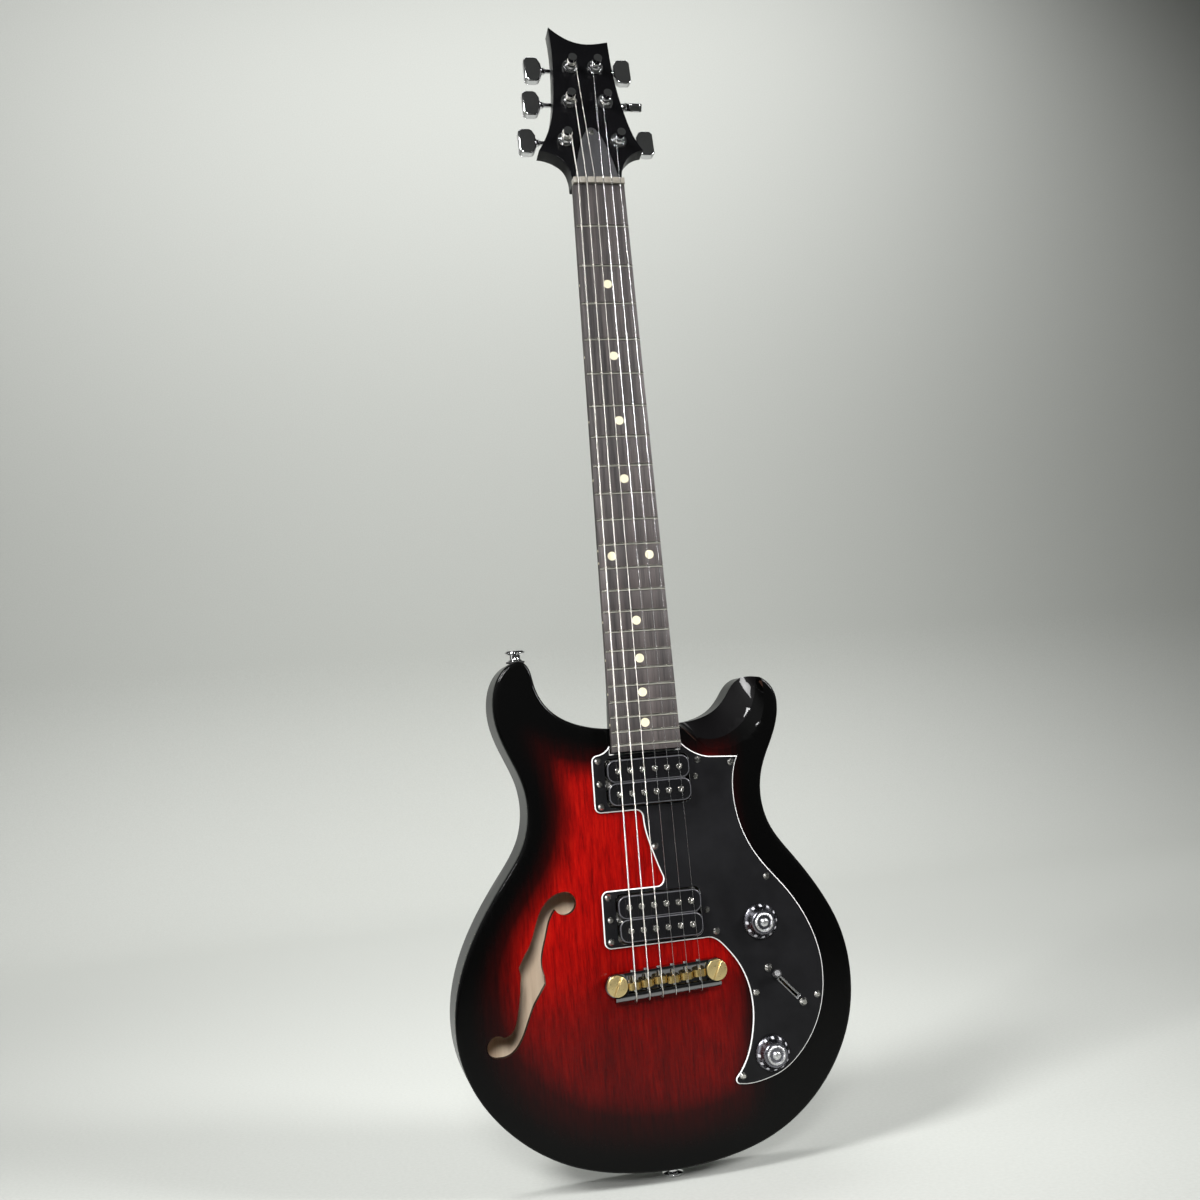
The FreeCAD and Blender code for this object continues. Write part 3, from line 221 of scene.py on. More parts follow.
def stain(point):
    """How much cherry shows: none at the edge and on the horns, all in the middle, less low down as painted
    shade.
    """
    x, z = point.x / MM, point.z / MM
    reach = FADE + LOW_FADE * ease(200 - z, 0, 90)
    # Painted shade: the cherry is darkened towards the bottom of the body, where less light falls.
    painted_shade_by_height = 0.52 + 0.48 * ease(z, 80, 195)
    treble = 1 - ease(x, 45, 85)
    return ease(inset(point), BLACK_RIM, BLACK_RIM + reach) * ease(HORN_ROOT - z, 0, HORN_FADE) * painted_shade_by_height * treble


top = made_from("body_top", "top_plate", "guitar", angle=30)
cells = bmesh.new()
cells.from_mesh(top.data)
GRID = 5 * MM
(low_x, _, low_z), (high_x, _, high_z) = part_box("body_top")
for axis, low, high in ((Vector((1, 0, 0)), low_x, high_x), (Vector((0, 0, 1)), low_z, high_z)):
    for step in range(1, int((high - low) / GRID)):
        bmesh.ops.bisect_plane(
            cells, geom=cells.verts[:] + cells.edges[:] + cells.faces[:],
            plane_co=axis * (low + step * GRID), plane_no=axis, dist=1e-6)
shade = cells.verts.layers.float.new("stain")
for vert in cells.verts:
    vert[shade] = stain(vert.co)
for face in cells.faces:
    if abs(face.normal.y) < 0.5 and inset(face.calc_center_median()) > 3:
        face.material_index = 1
cells.to_mesh(top.data)
cells.free()

cherry_and_shade, tree, shader = finish_nodes("cherry_burst_and_shade", gloss=0.5, coat=0.3, coat_gloss=0.03)
# The attribute carries the burst and the painted shade towards the bottom together.
depth = wire(tree, "ShaderNodeAttribute", attribute_name="stain").outputs["Fac"]
fine = grain(tree, 420, (1, 1, 0.10), 6, 0.75)
broad = grain(tree, 26, (1, 1, 0.16), 4, 0.55, 0.5)
pores = ramp(tree, fine, (0.30, (0.11, 0.0005, 0.0005)), (0.52, (0.28, 0.0018, 0.0010)),
             (0.78, (0.44, 0.008, 0.0025)))
bands = ramp(tree, broad, (0.3, (0.62, 0.55, 0.55)), (0.68, (1, 1, 1)))
red = blend_colours(tree, 1.0, pores, bands, "MULTIPLY")
sprayed_and_shaded = ramp(tree, depth, (0.0, (0, 0, 0)), (0.3, (0.06, 0.06, 0.06)), (0.65, (0.42, 0.42, 0.42)),
               (1, (1, 1, 1)))
coloured = blend_colours(tree, 1.0, red, sprayed_and_shaded, "MULTIPLY")
tree.links.new(coloured, shader.inputs["Base Color"])
relief(tree, shader, fine, 0.03, 0.0002)

sawn, tree, shader = finish_nodes("lacquered_rim", gloss=0.5, coat=0.4)
saw_marks = grain(tree, 240, (1, 0.2, 1), 5)
tree.links.new(ramp(tree, saw_marks, (0.3, (0.010, 0.005, 0.004)), (0.7, (0.035, 0.018, 0.012))),
               shader.inputs["Base Color"])
wear(top, cherry_and_shade, sawn, slot="cherry_lacquer")


# ---- Body --------------------------------------------------------------------------------
# The mahogany back, routed from the front for the sound chamber, the pickups and the
# controls. Its outside is sprayed black and polished; the chambers stay bare wood.

def lacquer(name, tint):
    mat, tree, shader = finish_nodes(name, gloss=0.4, coat=0.36, coat_gloss=0.03)
    cloud = grain(tree, 30, (1, 1, 1), 5)
    pale = tuple(c * 1.6 for c in tint)
    tree.links.new(ramp(tree, cloud, (0.3, tint), (0.75, pale)), shader.inputs["Base Color"])
    relief(tree, shader, grain(tree, 45, (1, 1, 0.4), 2), 0.02, 0.0004)
    return mat


black = lacquer("black_lacquer", (0.0022, 0.002, 0.0022))
# Painted light: the chamber's mahogany is paler than the wood, so the chamber seen through the f-hole reads
# as lit.
bare_with_painted_light, tree, shader = finish_nodes("bare_mahogany_painted_light", gloss=0.75)
lines = grain(tree, 90, (1, 1, 0.08), 8, 0.7)
tree.links.new(ramp(tree, lines, (0.3, (0.62, 0.46, 0.31)), (0.7, (0.90, 0.74, 0.56))),
               shader.inputs["Base Color"])
relief(tree, shader, lines, 0.25, 0.0003)
core = made_from("body_core", "body_shell", "guitar", angle=30)
BACK_INSIDE, NECK_JOINT, SIDE_WALL = 20 * MM, 285 * MM, 4.6
for face in core.data.polygons:
    middle = face.center
    if middle.y < BACK_INSIDE and middle.z < NECK_JOINT and inset(middle) > SIDE_WALL:
        face.material_index = 1
wear(core, black, bare_with_painted_light, slot="black_lacquer")


# ---- Neck and headstock ------------------------------------------------------------------
# One mahogany neck, glued into the body, with its headstock leaning back. The whole is
# black lacquer under the same polish as the body, with the headstock's edge slightly eased.

HEAD_START = 0.79
neck = made_from("neck", "neck_and_head", "guitar", soften=0.5, angle=40,
                 keep_edge=lambda edge: min(v.co.z for v in edge.verts) > HEAD_START)
wear(neck, lacquer("neck_lacquer", (0.0024, 0.0024, 0.0028)), slot="black_lacquer")


# ---- Fretboard ---------------------------------------------------------------------------
# A rosewood board glued on the neck, arched across and oiled rather than lacquered, so its
# open pores and brown streaks stay in plain sight.

board = made_from("fretboard", "rosewood_board", "guitar", soften=0.25, angle=40)
rosewood, tree, shader = finish_nodes("oiled_rosewood", gloss=0.5)
pores = grain(tree, 230, (1, 1, 0.03), 10, 0.75)
streak = grain(tree, 42, (1, 1, 0.05), 6, 0.6, 0.6)
tone = ramp(tree, streak, (0.3, (0.018, 0.014, 0.014)), (0.5, (0.042, 0.033, 0.032)),
            (0.72, (0.080, 0.065, 0.062)))
holes = ramp(tree, pores, (0.38, (0.25, 0.25, 0.25)), (0.55, (1, 1, 1)))
tree.links.new(blend_colours(tree, 1.0, tone, holes, "MULTIPLY"), shader.inputs["Base Color"])
tree.links.new(ramp(tree, pores, (0.3, (0.7, 0.7, 0.7)), (0.7, (0.42, 0.42, 0.42))),
               shader.inputs["Roughness"])
relief(tree, shader, pores, 0.5, 0.0002)
wear(board, rosewood, slot="rosewood")


# ---- Inlay dots --------------------------------------------------------------------------
# Cream plastic rod cut into discs, pressed into drilled holes in the face and along the
# upper edge, and sanded flush.

def moulded(name, tint, lift=1.3, gloss=0.35, coat=0.0, size=60):
    """Plastic with a faint cloud in its colour and its polish."""
    mat, tree, shader = finish_nodes(name, gloss=gloss, coat=coat, coat_gloss=0.08)
    cloud = grain(tree, size, (1, 1, 1), 5)
    pale = tuple(min(c * lift, 1) for c in tint)
    tree.links.new(ramp(tree, cloud, (0.3, tint), (0.7, pale)), shader.inputs["Base Color"])
    smear = grain(tree, size * 4, (1, 1, 1), 3)
    tree.links.new(ramp(tree, smear, (0.3, (gloss * 0.8,) * 3), (0.7, (min(gloss * 1.25, 1),) * 3)),
                   shader.inputs["Roughness"])
    relief(tree, shader, smear, 0.04, 0.0002)
    return mat


dots = made_from("inlay_dots", "cream_dots", "guitar")
wear(dots, moulded("cream_plastic", (0.62, 0.57, 0.40), 1.25), slot="cream_dot")


# ---- Frets -------------------------------------------------------------------------------
# Nickel silver wire with a domed crown, hammered into sawn slots, its ends filed flush and
# its crowns polished along the strings.

def plated(name, tint, gloss=0.16, brushed=0.0, stretch=(1, 1, 1)):
    """Metal whose polish varies, with fine lines where it is brushed."""
    mat, tree, shader = finish_nodes(name, metal=1.0, gloss=gloss)
    cloud = grain(tree, 55, (1, 1, 1), 4)
    pale = tuple(min(c * 1.15, 1) for c in tint)
    tree.links.new(ramp(tree, cloud, (0.3, tint), (0.7, pale)), shader.inputs["Base Color"])
    lines = grain(tree, 900, stretch, 3)
    tree.links.new(ramp(tree, lines, (0.3, (gloss * 0.7,) * 3), (0.7, (gloss * 1.35,) * 3)),
                   shader.inputs["Roughness"])
    relief(tree, shader, lines, 0.03 + brushed, 0.0001)
    return mat


frets = made_from("frets", "fret_wires", "guitar", angle=50)
wear(frets, plated("nickel_silver", (0.66, 0.64, 0.58), 0.2, 0.05, (0.1, 1, 1)), slot="nickel_silver")


# ---- Nut ---------------------------------------------------------------------------------
# A grey block of synthetic bone glued at the top of the board, with six filed slots that
# set the strings' spacing.

nut = made_from("nut", "bone_nut", "guitar", soften=0.3)
wear(nut, moulded("grey_bone", (0.20, 0.185, 0.155), 1.3, 0.3), slot="bone")


# ---- Truss rod and its cover -------------------------------------------------------------
# A steel rod in a channel under the board, with its hexagon nut in a pocket above the nut.
# The bell-shaped cover is a plain sheet of dark plastic held by one screw near its top.

steel = plated("rod_steel", (0.45, 0.45, 0.46), 0.3, 0.1, (1, 1, 0.05))
wear(made_from("truss_rod", "steel_truss_rod", "guitar"), steel, slot="steel")
cover = made_from("truss_rod_cover", "bell_cover", "guitar", soften=0.4)
wear(cover, moulded("cover_plastic", (0.030, 0.030, 0.032), 1.3, 0.45), slot="cover_plastic")


# ---- Pickguard ---------------------------------------------------------------------------
# Three bonded sheets of plastic, black, white and black, sawn to shape. Its front edge is
# planed to a slope, which shows the white sheet as a fine line all round.

PLY_SLOPE = 1.05 * MM
(_, guard_front, _), (_, guard_back, _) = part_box("pickguard")
sheet = bmesh.new()
sheet.from_mesh(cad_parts["pickguard"].data)
bmesh.ops.remove_doubles(sheet, verts=sheet.verts, dist=0.004 * MM)
face_edges = {}
for face in sheet.faces:
    if face.normal.y < -0.99:
        for edge in face.edges:
            face_edges.setdefault(edge, []).append(face)
steps = {}
for edge, faces in face_edges.items():
    if len(faces) == 1:
        for loop in edge.link_loops:
            if loop.face in faces:
                steps[loop.vert] = loop.link_loop_next.vert
loops = []
while steps:
    start, here = next(iter(steps.items()))
    loop = [start]
    del steps[start]
    while here in steps:
        loop.append(here)
        here = steps.pop(here)
    loops.append([(v.co.x, v.co.z) for v in loop])
sheet.free()


def signed_area(loop):
    """The area inside a loop, negative when it runs the other way round."""
    return sum(a[0] * b[1] - b[0] * a[1] for a, b in zip(loop, loop[1:] + loop[:1])) / 2


def holds(loop, x, z):
    """Whether a point lies inside a loop, by counting the edges on one side of it."""
    inside = False
    for (x0, z0), (x1, z1) in zip(loop, loop[1:] + loop[:1]):
        if (z0 > z) != (z1 > z) and x < (x1 - x0) * (z - z0) / (z1 - z0) + x0:
            inside = not inside
    return inside


def drawn_in(loop, amount):
    """The same loop moved inwards, with its sharp corners kept sharp."""
    side = 1 if signed_area(loop) > 0 else -1
    moved = []
    for before, here, after in zip(loop[-1:] + loop[:-1], loop, loop[1:] + loop[:1]):
        one = Vector((here[0] - before[0], here[1] - before[1])).normalized()
        two = Vector((after[0] - here[0], after[1] - here[1])).normalized()
        normal = Vector((-one.y - two.y, one.x + two.x)) * side
        normal.normalize()
        half = max(normal.dot(Vector((-one.y, one.x)) * side), 0.4)
        moved.append((here[0] + normal.x * amount / half, here[1] + normal.y * amount / half))
    return moved


loops.sort(key=lambda loop: -abs(signed_area(loop)))
outline, holes = loops[0], loops[1:]
brim = drawn_in(outline, PLY_SLOPE)
flat_points = [Vector(point) for loop in [brim] + holes for point in loop]
flat_edges = []
first = 0
for loop in [brim] + holes:
    flat_edges += [(first + n, first + (n + 1) % len(loop)) for n in range(len(loop))]
    first += len(loop)
laid = delaunay_2d_cdt(flat_points, flat_edges, [], 0, 1e-7)
verts = [(p.x, guard_front, p.y) for p in laid[0]]
faces = []
for corner in laid[2]:
    cx = sum(laid[0][n].x for n in corner) / 3
    cz = sum(laid[0][n].y for n in corner) / 3
    if holds(brim, cx, cz) and not any(holds(hole, cx, cz) for hole in holes):
        faces.append(tuple(corner))
slope_foot = guard_front + 0.9 * PLY_SLOPE
fences = [[(brim, guard_front), (outline, slope_foot), (outline, guard_back)]]
fences += [[(hole, guard_front), (hole, guard_back)] for hole in holes]
for rows in fences:
    base, count = len(verts), len(rows[0][0])
    for loop, depth in rows:
        verts += [(x, depth, z) for x, z in loop]
    for level in range(len(rows) - 1):
        a = base + level * count
        for n in range(count):
            m = (n + 1) % count
            faces.append((a + n, a + m, a + count + m, a + count + n))
guard_mesh = bpy.data.meshes.new("three_ply_guard")
guard_mesh.from_pydata(verts, [], faces)
tidy = bmesh.new()
tidy.from_mesh(guard_mesh)
bmesh.ops.remove_doubles(tidy, verts=tidy.verts, dist=0.003 * MM)
bmesh.ops.recalc_face_normals(tidy, faces=tidy.faces)
for face in tidy.faces:
    if face.normal.y > 0.9:
        face.normal_flip()
tidy.to_mesh(guard_mesh)
tidy.free()
guard = bpy.data.objects.new("three_ply_guard", guard_mesh)
bpy.context.scene.collection.objects.link(guard)
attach(guard, "guitar")
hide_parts("pickguard")
ply, tree, shader = finish_nodes("three_ply_plastic", gloss=0.3, coat=0.15, coat_gloss=0.12)
place = wire(tree, "ShaderNodeTexCoord")
parts = wire(tree, "ShaderNodeSeparateXYZ", {"Vector": place.outputs["Object"]})
layer = wire(tree, "ShaderNodeMapRange", {
    "Value": parts.outputs["Y"], "From Min": guard_front, "From Max": guard_back})
haze = grain(tree, 24, (1, 1, 1), 5)
cloud = ramp(tree, haze, (0.3, (0.006, 0.006, 0.0065)), (0.7, (0.011, 0.011, 0.012)))
white = ramp(tree, layer.outputs["Result"], (0.0, (0, 0, 0)), (0.10, (0, 0, 0)), (0.12, (1, 1, 1)),
             (0.46, (1, 1, 1)), (0.48, (0, 0, 0)))
tree.links.new(blend_colours(tree, white, cloud, (0.75, 0.75, 0.74)), shader.inputs["Base Color"])
scuffs = grain(tree, 420, (1, 1, 1), 6)
tree.links.new(ramp(tree, scuffs, (0.3, (0.30,) * 3), (0.8, (0.38,) * 3)), shader.inputs["Roughness"])
relief(tree, shader, scuffs, 0.008, 0.0001)
wear(guard, ply, slot="guard_plastic")


# ---- Screws of the guard, the pickups, the selector and the headstock --------------------
# Nickel-plated steel screws with domed cross-slotted heads, driven into the wood through
# countersunk holes, and slotted machine screws that carry the pickups on springs.

nickel = plated("nickel_plate", (0.62, 0.61, 0.58), 0.18, 0.02)
for node, name in (("pickguard_screws", "guard_screws"), ("pickup_height_screws", "height_screws"),
                   ("switch_screws", "selector_screws"), ("headstock_screws", "head_screws"),
                   ("strap_screws", "button_screws"), ("pickup_springs", "height_springs")):
    wear(made_from(node, name, "guitar", angle=40), nickel, slot="nickel")


# ---- Pickups -----------------------------------------------------------------------------
# Two humbucking pickups, each of two moulded black coil formers side by side on a nickel
# plate, over a bar magnet. Slotted pole screws stand in both rows under the strings.

coil_plastic = moulded("coil_plastic", (0.004, 0.004, 0.0045), 1.8, 0.2, 1.0, 50)
# Painted highlight: the rounded front rim of each coil former is a lighter grey copy of the black plastic.
coil_rim_highlight = moulded("coil_rim_painted_highlight", (0.055, 0.055, 0.06), 1.5, 0.2, 1.0, 50)
COIL_WIDE, COIL_DEEP, COIL_CORNER = 66.5 * MM, 17.6 * MM, 6.5 * MM
# How far in from the outline, and how far behind the front, each ring of the rim lies.
COIL_RIM = ((0.0, 11.5), (0.0, 4.6), (0.0, 0.9), (0.08, 0.5), (0.27, 0.23), (0.55, 0.07), (0.95, 0.0))
ARC_STEPS = 12


def rounded_loop(centre, drawn, height):
    """One ring round a coil former, drawn in by some amount from its outline."""
    radius = COIL_CORNER - drawn
    points = []
    for corner, (side_x, side_z) in enumerate(((1, 1), (-1, 1), (-1, -1), (1, -1))):
        x = centre.x + side_x * (COIL_WIDE / 2 - COIL_CORNER)
        z = centre.z + side_z * (COIL_DEEP / 2 - COIL_CORNER)
        for step in range(ARC_STEPS + 1):
            a = math.radians(90 * corner + 90 * step / ARC_STEPS)
            points.append((x + radius * math.cos(a), height, z + radius * math.sin(a)))
    return points


for node in ("neck_pickup_coils", "bridge_pickup_coils"):
    low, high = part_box(node)
    pair = bmesh.new()
    for middle_z in (low[2] + COIL_DEEP / 2, high[2] - COIL_DEEP / 2):
        centre = Vector(((low[0] + high[0]) / 2, low[1], middle_z))
        loops = []
        for drawn, depth in COIL_RIM:
            height = min(low[1] + depth * MM, high[1])
            loops.append([pair.verts.new(point) for point in rounded_loop(centre, drawn * MM, height)])
        for outer, inner in zip(loops, loops[1:]):
            for n in range(len(outer)):
                m = (n + 1) % len(outer)
                pair.faces.new((outer[n], outer[m], inner[m], inner[n]))
        pair.faces.new(loops[-1])
        pair.faces.new(loops[0])
    bmesh.ops.recalc_face_normals(pair, faces=pair.faces)
    for face in pair.faces:
        face.smooth = len(face.verts) == 4
        # The rim's forward-facing faces take the lighter copy, the painted highlight.
        face.material_index = int(abs(face.normal.y) > 0.25 and len(face.verts) == 4)
    coils_mesh = bpy.data.meshes.new(node.replace("_pickup_coils", "_coil_formers"))
    pair.to_mesh(coils_mesh)
    pair.free()
    coils = bpy.data.objects.new(coils_mesh.name, coils_mesh)
    bpy.context.scene.collection.objects.link(coils)
    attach(coils, "guitar")
    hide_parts(node)
    wear(coils, coil_plastic, coil_rim_highlight, slot="coil_black")
poles = made_from("pickup_poles", "pole_screws", "guitar", soften=0.18, angle=40)
wear(poles, plated("pole_nickel", (0.50, 0.49, 0.46), 0.22), slot="nickel")
wear(made_from("pickup_baseplates", "base_plates", "guitar"), nickel, slot="nickel")
wear(made_from("pickup_magnets", "bar_magnets", "guitar", soften=0.3),
     plated("cast_magnet", (0.30, 0.29, 0.28), 0.55, 0.4), slot="magnet")


# ---- Bridge ------------------------------------------------------------------------------
# A cast bar, chromed and polished, that hooks on two slotted brass studs. The strings pass
# through it from the front and fold back over its rounded rear onto six brass saddles.

chrome = plated("chrome_plate", (0.62, 0.62, 0.63), 0.08)
# Painted reflection: the bar's chrome is tinted dark so it shows as reflecting a dark room.
chrome_painted_dark = plated("bar_chrome_painted_dark", (0.20, 0.20, 0.205), 0.06)
wear(made_from("bridge_bar", "wrapover_bar", "guitar", soften=0.5, angle=45), chrome_painted_dark, slot="chrome")
brass = plated("turned_brass", (0.66, 0.52, 0.25), 0.34, 0.03)
wear(made_from("bridge_studs", "brass_studs", "guitar", soften=0.35, angle=45), brass, slot="brass")
wear(made_from("stud_inserts", "threaded_inserts", "guitar"), steel, slot="steel")
saddle_brass = plated("saddle_brass", (0.62, 0.46, 0.19), 0.22, 0.06)
for number in range(1, 7):
    body = f"saddle_{number}"
    wear(made_from(body, f"brass_{body}", body, angle=30), saddle_brass, slot="brass")
wear(made_from("intonation_screws", "saddle_screws", "guitar", angle=40), chrome, slot="chrome")


# ---- Strings -----------------------------------------------------------------------------
# Three steel strings wound with nickel wire and three of plain steel, from the rear of the
# bridge over the saddles and the nut to the turns on the posts.

wound, tree, shader = finish_nodes("wound_wire", metal=1.0, gloss=0.28)
place = wire(tree, "ShaderNodeTexCoord")
turns = wire(tree, "ShaderNodeTexWave", {
    "Vector": place.outputs["Object"], "Scale": 900.0, "Distortion": 0.3}, bands_direction="Z")
# The grooves between the turns are coloured dark: painted shade, alongside the bump.
tree.links.new(ramp(tree, turns.outputs["Fac"], (0.1, (0.22, 0.21, 0.19)), (0.6, (0.78, 0.75, 0.70))),
               shader.inputs["Base Color"])
relief(tree, shader, turns.outputs["Fac"], 0.5, 0.0001)
wear(made_from("wound_strings", "wound_bass_strings", "guitar", angle=60), wound, slot="wound_string")
plain = plated("plain_wire", (0.70, 0.70, 0.70), 0.2)
wear(made_from("plain_strings", "plain_treble_strings", "guitar", angle=60), plain, slot="steel")


# ---- Tuners ------------------------------------------------------------------------------
# Six closed gears behind the headstock, each with a worm on its key and a wheel on its post.
# Cast, turned and chromed, held by a hexagon nut in front and a small screw behind.

wear(made_from("tuner_housings", "gear_housings", "guitar", soften=0.6, angle=45), chrome, slot="chrome")
wear(made_from("tuner_bushings", "hexagon_bushings", "guitar", soften=0.2, angle=40), chrome, slot="chrome")
head_frame = (Matrix.Translation(Vector((0, -28.75, 781)) * MM)
              @ Matrix.Rotation(math.radians(-9), 4, "X"))
POST_SPOTS = {1: (22.5, 43.3), 2: (15.4, 80.5), 3: (10.8, 114.3),
              4: (-10.8, 114.3), 5: (-15.4, 80.5), 6: (-22.5, 43.3)}
OUTER_STRING, STRING_PITCH, NUT_TOP = 17.5, 7, 5
POST_RADIUS, WRAP_RISE = 3.1, 6.2
GAUGES = {6: 0.584, 5: 0.457, 4: 0.33, 3: 0.216, 2: 0.165, 1: 0.127}


def tangent_run(number):
    """A string's last stretch, in the headstock's frame: its start, and where it meets the post."""
    spot, gauge = POST_SPOTS[number], GAUGES[number]
    across = OUTER_STRING - STRING_PITCH * (number - 1)
    reach = POST_RADIUS + gauge
    dx, du = spot[0] - across, spot[1] - NUT_TOP
    far = math.hypot(dx, du)
    heading = math.atan2(dx, du) + (1 if spot[0] < 0 else -1) * math.asin(reach / far)
    whole = math.sqrt(far ** 2 - reach ** 2)
    short = whole - math.sqrt((reach + 2 * gauge + 0.3) ** 2 - reach ** 2)
    return [Vector((across + run * math.sin(heading), -WRAP_RISE, NUT_TOP + run * math.cos(heading)))
            for run in (short - 0.4, whole + 0.3)]


def wire_rod(name, start, end, radius, rings=6, sides=14):
    """A short straight length of wire with slightly rounded ends."""
    axis = (end - start).normalized()
    side = axis.orthogonal().normalized()
    up = axis.cross(side)
    verts, faces = [], []
    for ring in range(rings):
        t = ring / (rings - 1)
        wide = radius * (0.9 if ring in (0, rings - 1) else 1.0)
        for n in range(sides):
            a = math.tau * n / sides
            verts.append(start + (end - start) * t + (side * math.cos(a) + up * math.sin(a)) * wide)
    for ring in range(rings - 1):
        for n in range(sides):
            m = (n + 1) % sides
            a = ring * sides
            faces.append((a + n, a + m, a + sides + m, a + sides + n))
    faces += [tuple(reversed(range(sides))), tuple(range((rings - 1) * sides, rings * sides))]
    mesh = bpy.data.meshes.new(name)
    mesh.from_pydata(verts, [], faces)
    mesh.shade_smooth()
    piece = bpy.data.objects.new(name, mesh)
    bpy.context.scene.collection.objects.link(piece)
    return piece


TURNS_TALL = 4 * MM
for number in range(1, 7):
    post = made_from(f"tuner_post_{number}", f"string_post_{number}", f"post_{number}", angle=45)
    string_metal = wound if number > 3 else plain
    wear(post, chrome, string_metal, slot="chrome")
    work = bmesh.new()
    work.from_mesh(post.data)
    work.faces.ensure_lookup_table()
    waiting = set(work.faces)
    while waiting:
        island, edge_of = set(), [waiting.pop()]
        while edge_of:
            face = edge_of.pop()
            island.add(face)
            for edge in face.edges:
                for other in edge.link_faces:
                    if other in waiting:
                        waiting.discard(other)
                        edge_of.append(other)
        ys = [v.co.y for face in island for v in face.verts]
        if max(ys) - min(ys) < TURNS_TALL:
            for face in island:
                face.material_index = 1
    work.to_mesh(post.data)
    work.free()
    start, end = [head_frame @ (point * MM) for point in tangent_run(number)]
    lead = wire_rod(f"string_lead_{number}", start, end, GAUGES[number] * 0.98 * MM)
    lead.data.materials.append(string_metal)
    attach(lead, "guitar")
    key = made_from(f"tuner_key_{number}", f"chrome_key_{number}", f"key_{number}",
                    soften=1.5, angle=40, clamp=False)
    wear(key, chrome, slot="chrome")


# ---- Knobs and their controls ------------------------------------------------------------
# Two smoky plastic knobs over silver foil, with a raised mark at each number, pushed on the
# split shafts of the volume and tone controls, which hang under the guard by their nuts.

smoky = plated("smoked_foil", (0.17, 0.17, 0.19), 0.24, 0.1)
numeral_paint = moulded("numeral_paint", (0.52, 0.52, 0.55), 1.2, 0.3)
silver = plated("silver_foil", (0.60, 0.60, 0.61), 0.28, 0.1)


def turned(name, centre, profile, flutes=0, depth=0.0, steps=96, capped=True):
    """A piece turned about the knob's axis, from radii and heights, fluted if asked."""
    verts, faces = [], []
    for radius, height in profile:
        for n in range(steps):
            a = math.tau * n / steps
            r = radius + (depth * math.cos(flutes * a) if radius > 1 else 0)
            verts.append((centre[0] + r * MM * math.cos(a), centre[1] - height * MM,
                          centre[2] + r * MM * math.sin(a)))
    for row in range(len(profile) - 1):
        for n in range(steps):
            m = (n + 1) % steps
            a = row * steps
            faces.append((a + n, a + steps + n, a + steps + m, a + m))
    if capped:
        faces.append(tuple(range((len(profile) - 1) * steps, len(profile) * steps)))
        faces.append(tuple(reversed(range(steps))))
    mesh = bpy.data.meshes.new(name)
    mesh.from_pydata(verts, [], faces)
    work = bmesh.new()
    work.from_mesh(mesh)
    bmesh.ops.recalc_face_normals(work, faces=work.faces)
    for face in work.faces:
        face.smooth = True
    for edge in work.edges:
        if len(edge.link_faces) == 2:
            edge.smooth = edge.calc_face_angle(0) < math.radians(32)
    work.to_mesh(mesh)
    work.free()
    piece = bpy.data.objects.new(name, mesh)
    bpy.context.scene.collection.objects.link(piece)
    return piece


# Radii and heights of the three turned parts, in millimetres.
SKIRT = ((13.3, 0), (13.75, 0.4), (13.75, 1.7), (13.4, 2.3), (12.95, 2.6), (11.2, 6.2), (9.9, 8.9),
         (9.45, 9.7), (8.9, 10.15), (8.2, 10.2), (7.9, 9.9), (0.8, 9.9))
CROWN = ((7.3, 9.6), (7.5, 10.3), (7.2, 10.9), (6.7, 11.2), (5.9, 11.3), (5.6, 11.0), (5.5, 10.4), (5.5, 9.6))
DOME = ((3.3, 9.7), (3.3, 10.7), (3.1, 11.3), (2.5, 11.8), (1.5, 12.1), (0.5, 12.2))
NUMERALS = 11
NUMERAL_SIZE = Vector((3.1, 0.6, 2.2)) * MM
NUMERAL_SPOT = Vector((12.12, -4.3, 0)) * MM
SKIRT_SLOPE = math.radians(64)
for control in ("volume", "tone"):
    body = f"{control}_control"
    low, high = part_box(f"{control}_knob")
    centre = ((low[0] + high[0]) / 2, high[1], (low[2] + high[2]) / 2)
    skirt = turned(f"smoky_{control}_knob", centre, SKIRT)
    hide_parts(f"{control}_knob")
    wear(skirt, smoky, slot="knob_black")
    crown = turned(f"{control}_knob_crown", centre, CROWN, 32, 0.18, 192, capped=False)
    wear(crown, silver, slot="chrome")
    dome = turned(f"{control}_knob_dome", centre, DOME)
    wear(dome, silver, slot="chrome")
    marks = bmesh.new()
    for index in range(NUMERALS):
        a = math.radians(120 - 30 * index)
        spin = Matrix.Translation(centre) @ Matrix.Rotation(-a, 4, "Y")
        slope = spin @ Matrix.Translation(NUMERAL_SPOT) @ Matrix.Rotation(SKIRT_SLOPE, 4, "Z")
        size = Matrix.Diagonal((*NUMERAL_SIZE, 1))
        pad = bmesh.ops.create_cube(marks, size=1, matrix=slope @ size)
        rim = {edge for vert in pad["verts"] for edge in vert.link_edges}
        bmesh.ops.bevel(marks, geom=list(rim), offset=0.2 * MM, segments=2, affect="EDGES")
    marks_mesh = bpy.data.meshes.new(f"{control}_knob_numerals")
    marks.to_mesh(marks_mesh)
    marks.free()
    numerals = bpy.data.objects.new(f"{control}_knob_numerals", marks_mesh)
    bpy.context.scene.collection.objects.link(numerals)
    wear(numerals, numeral_paint, slot="chrome")
    for piece in (skirt, crown, dome, numerals):
        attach(piece, body)
    wear(made_from(f"{control}_shaft", f"split_{control}_shaft", body), steel, slot="steel")
wear(made_from("control_pots", "control_cans", "guitar", soften=0.3), nickel, slot="nickel")


# ---- Pickup selector ---------------------------------------------------------------------
# A lever switch under a slot in the guard: a folded steel frame, a flat blade and a small
# black tip pushed on its end.

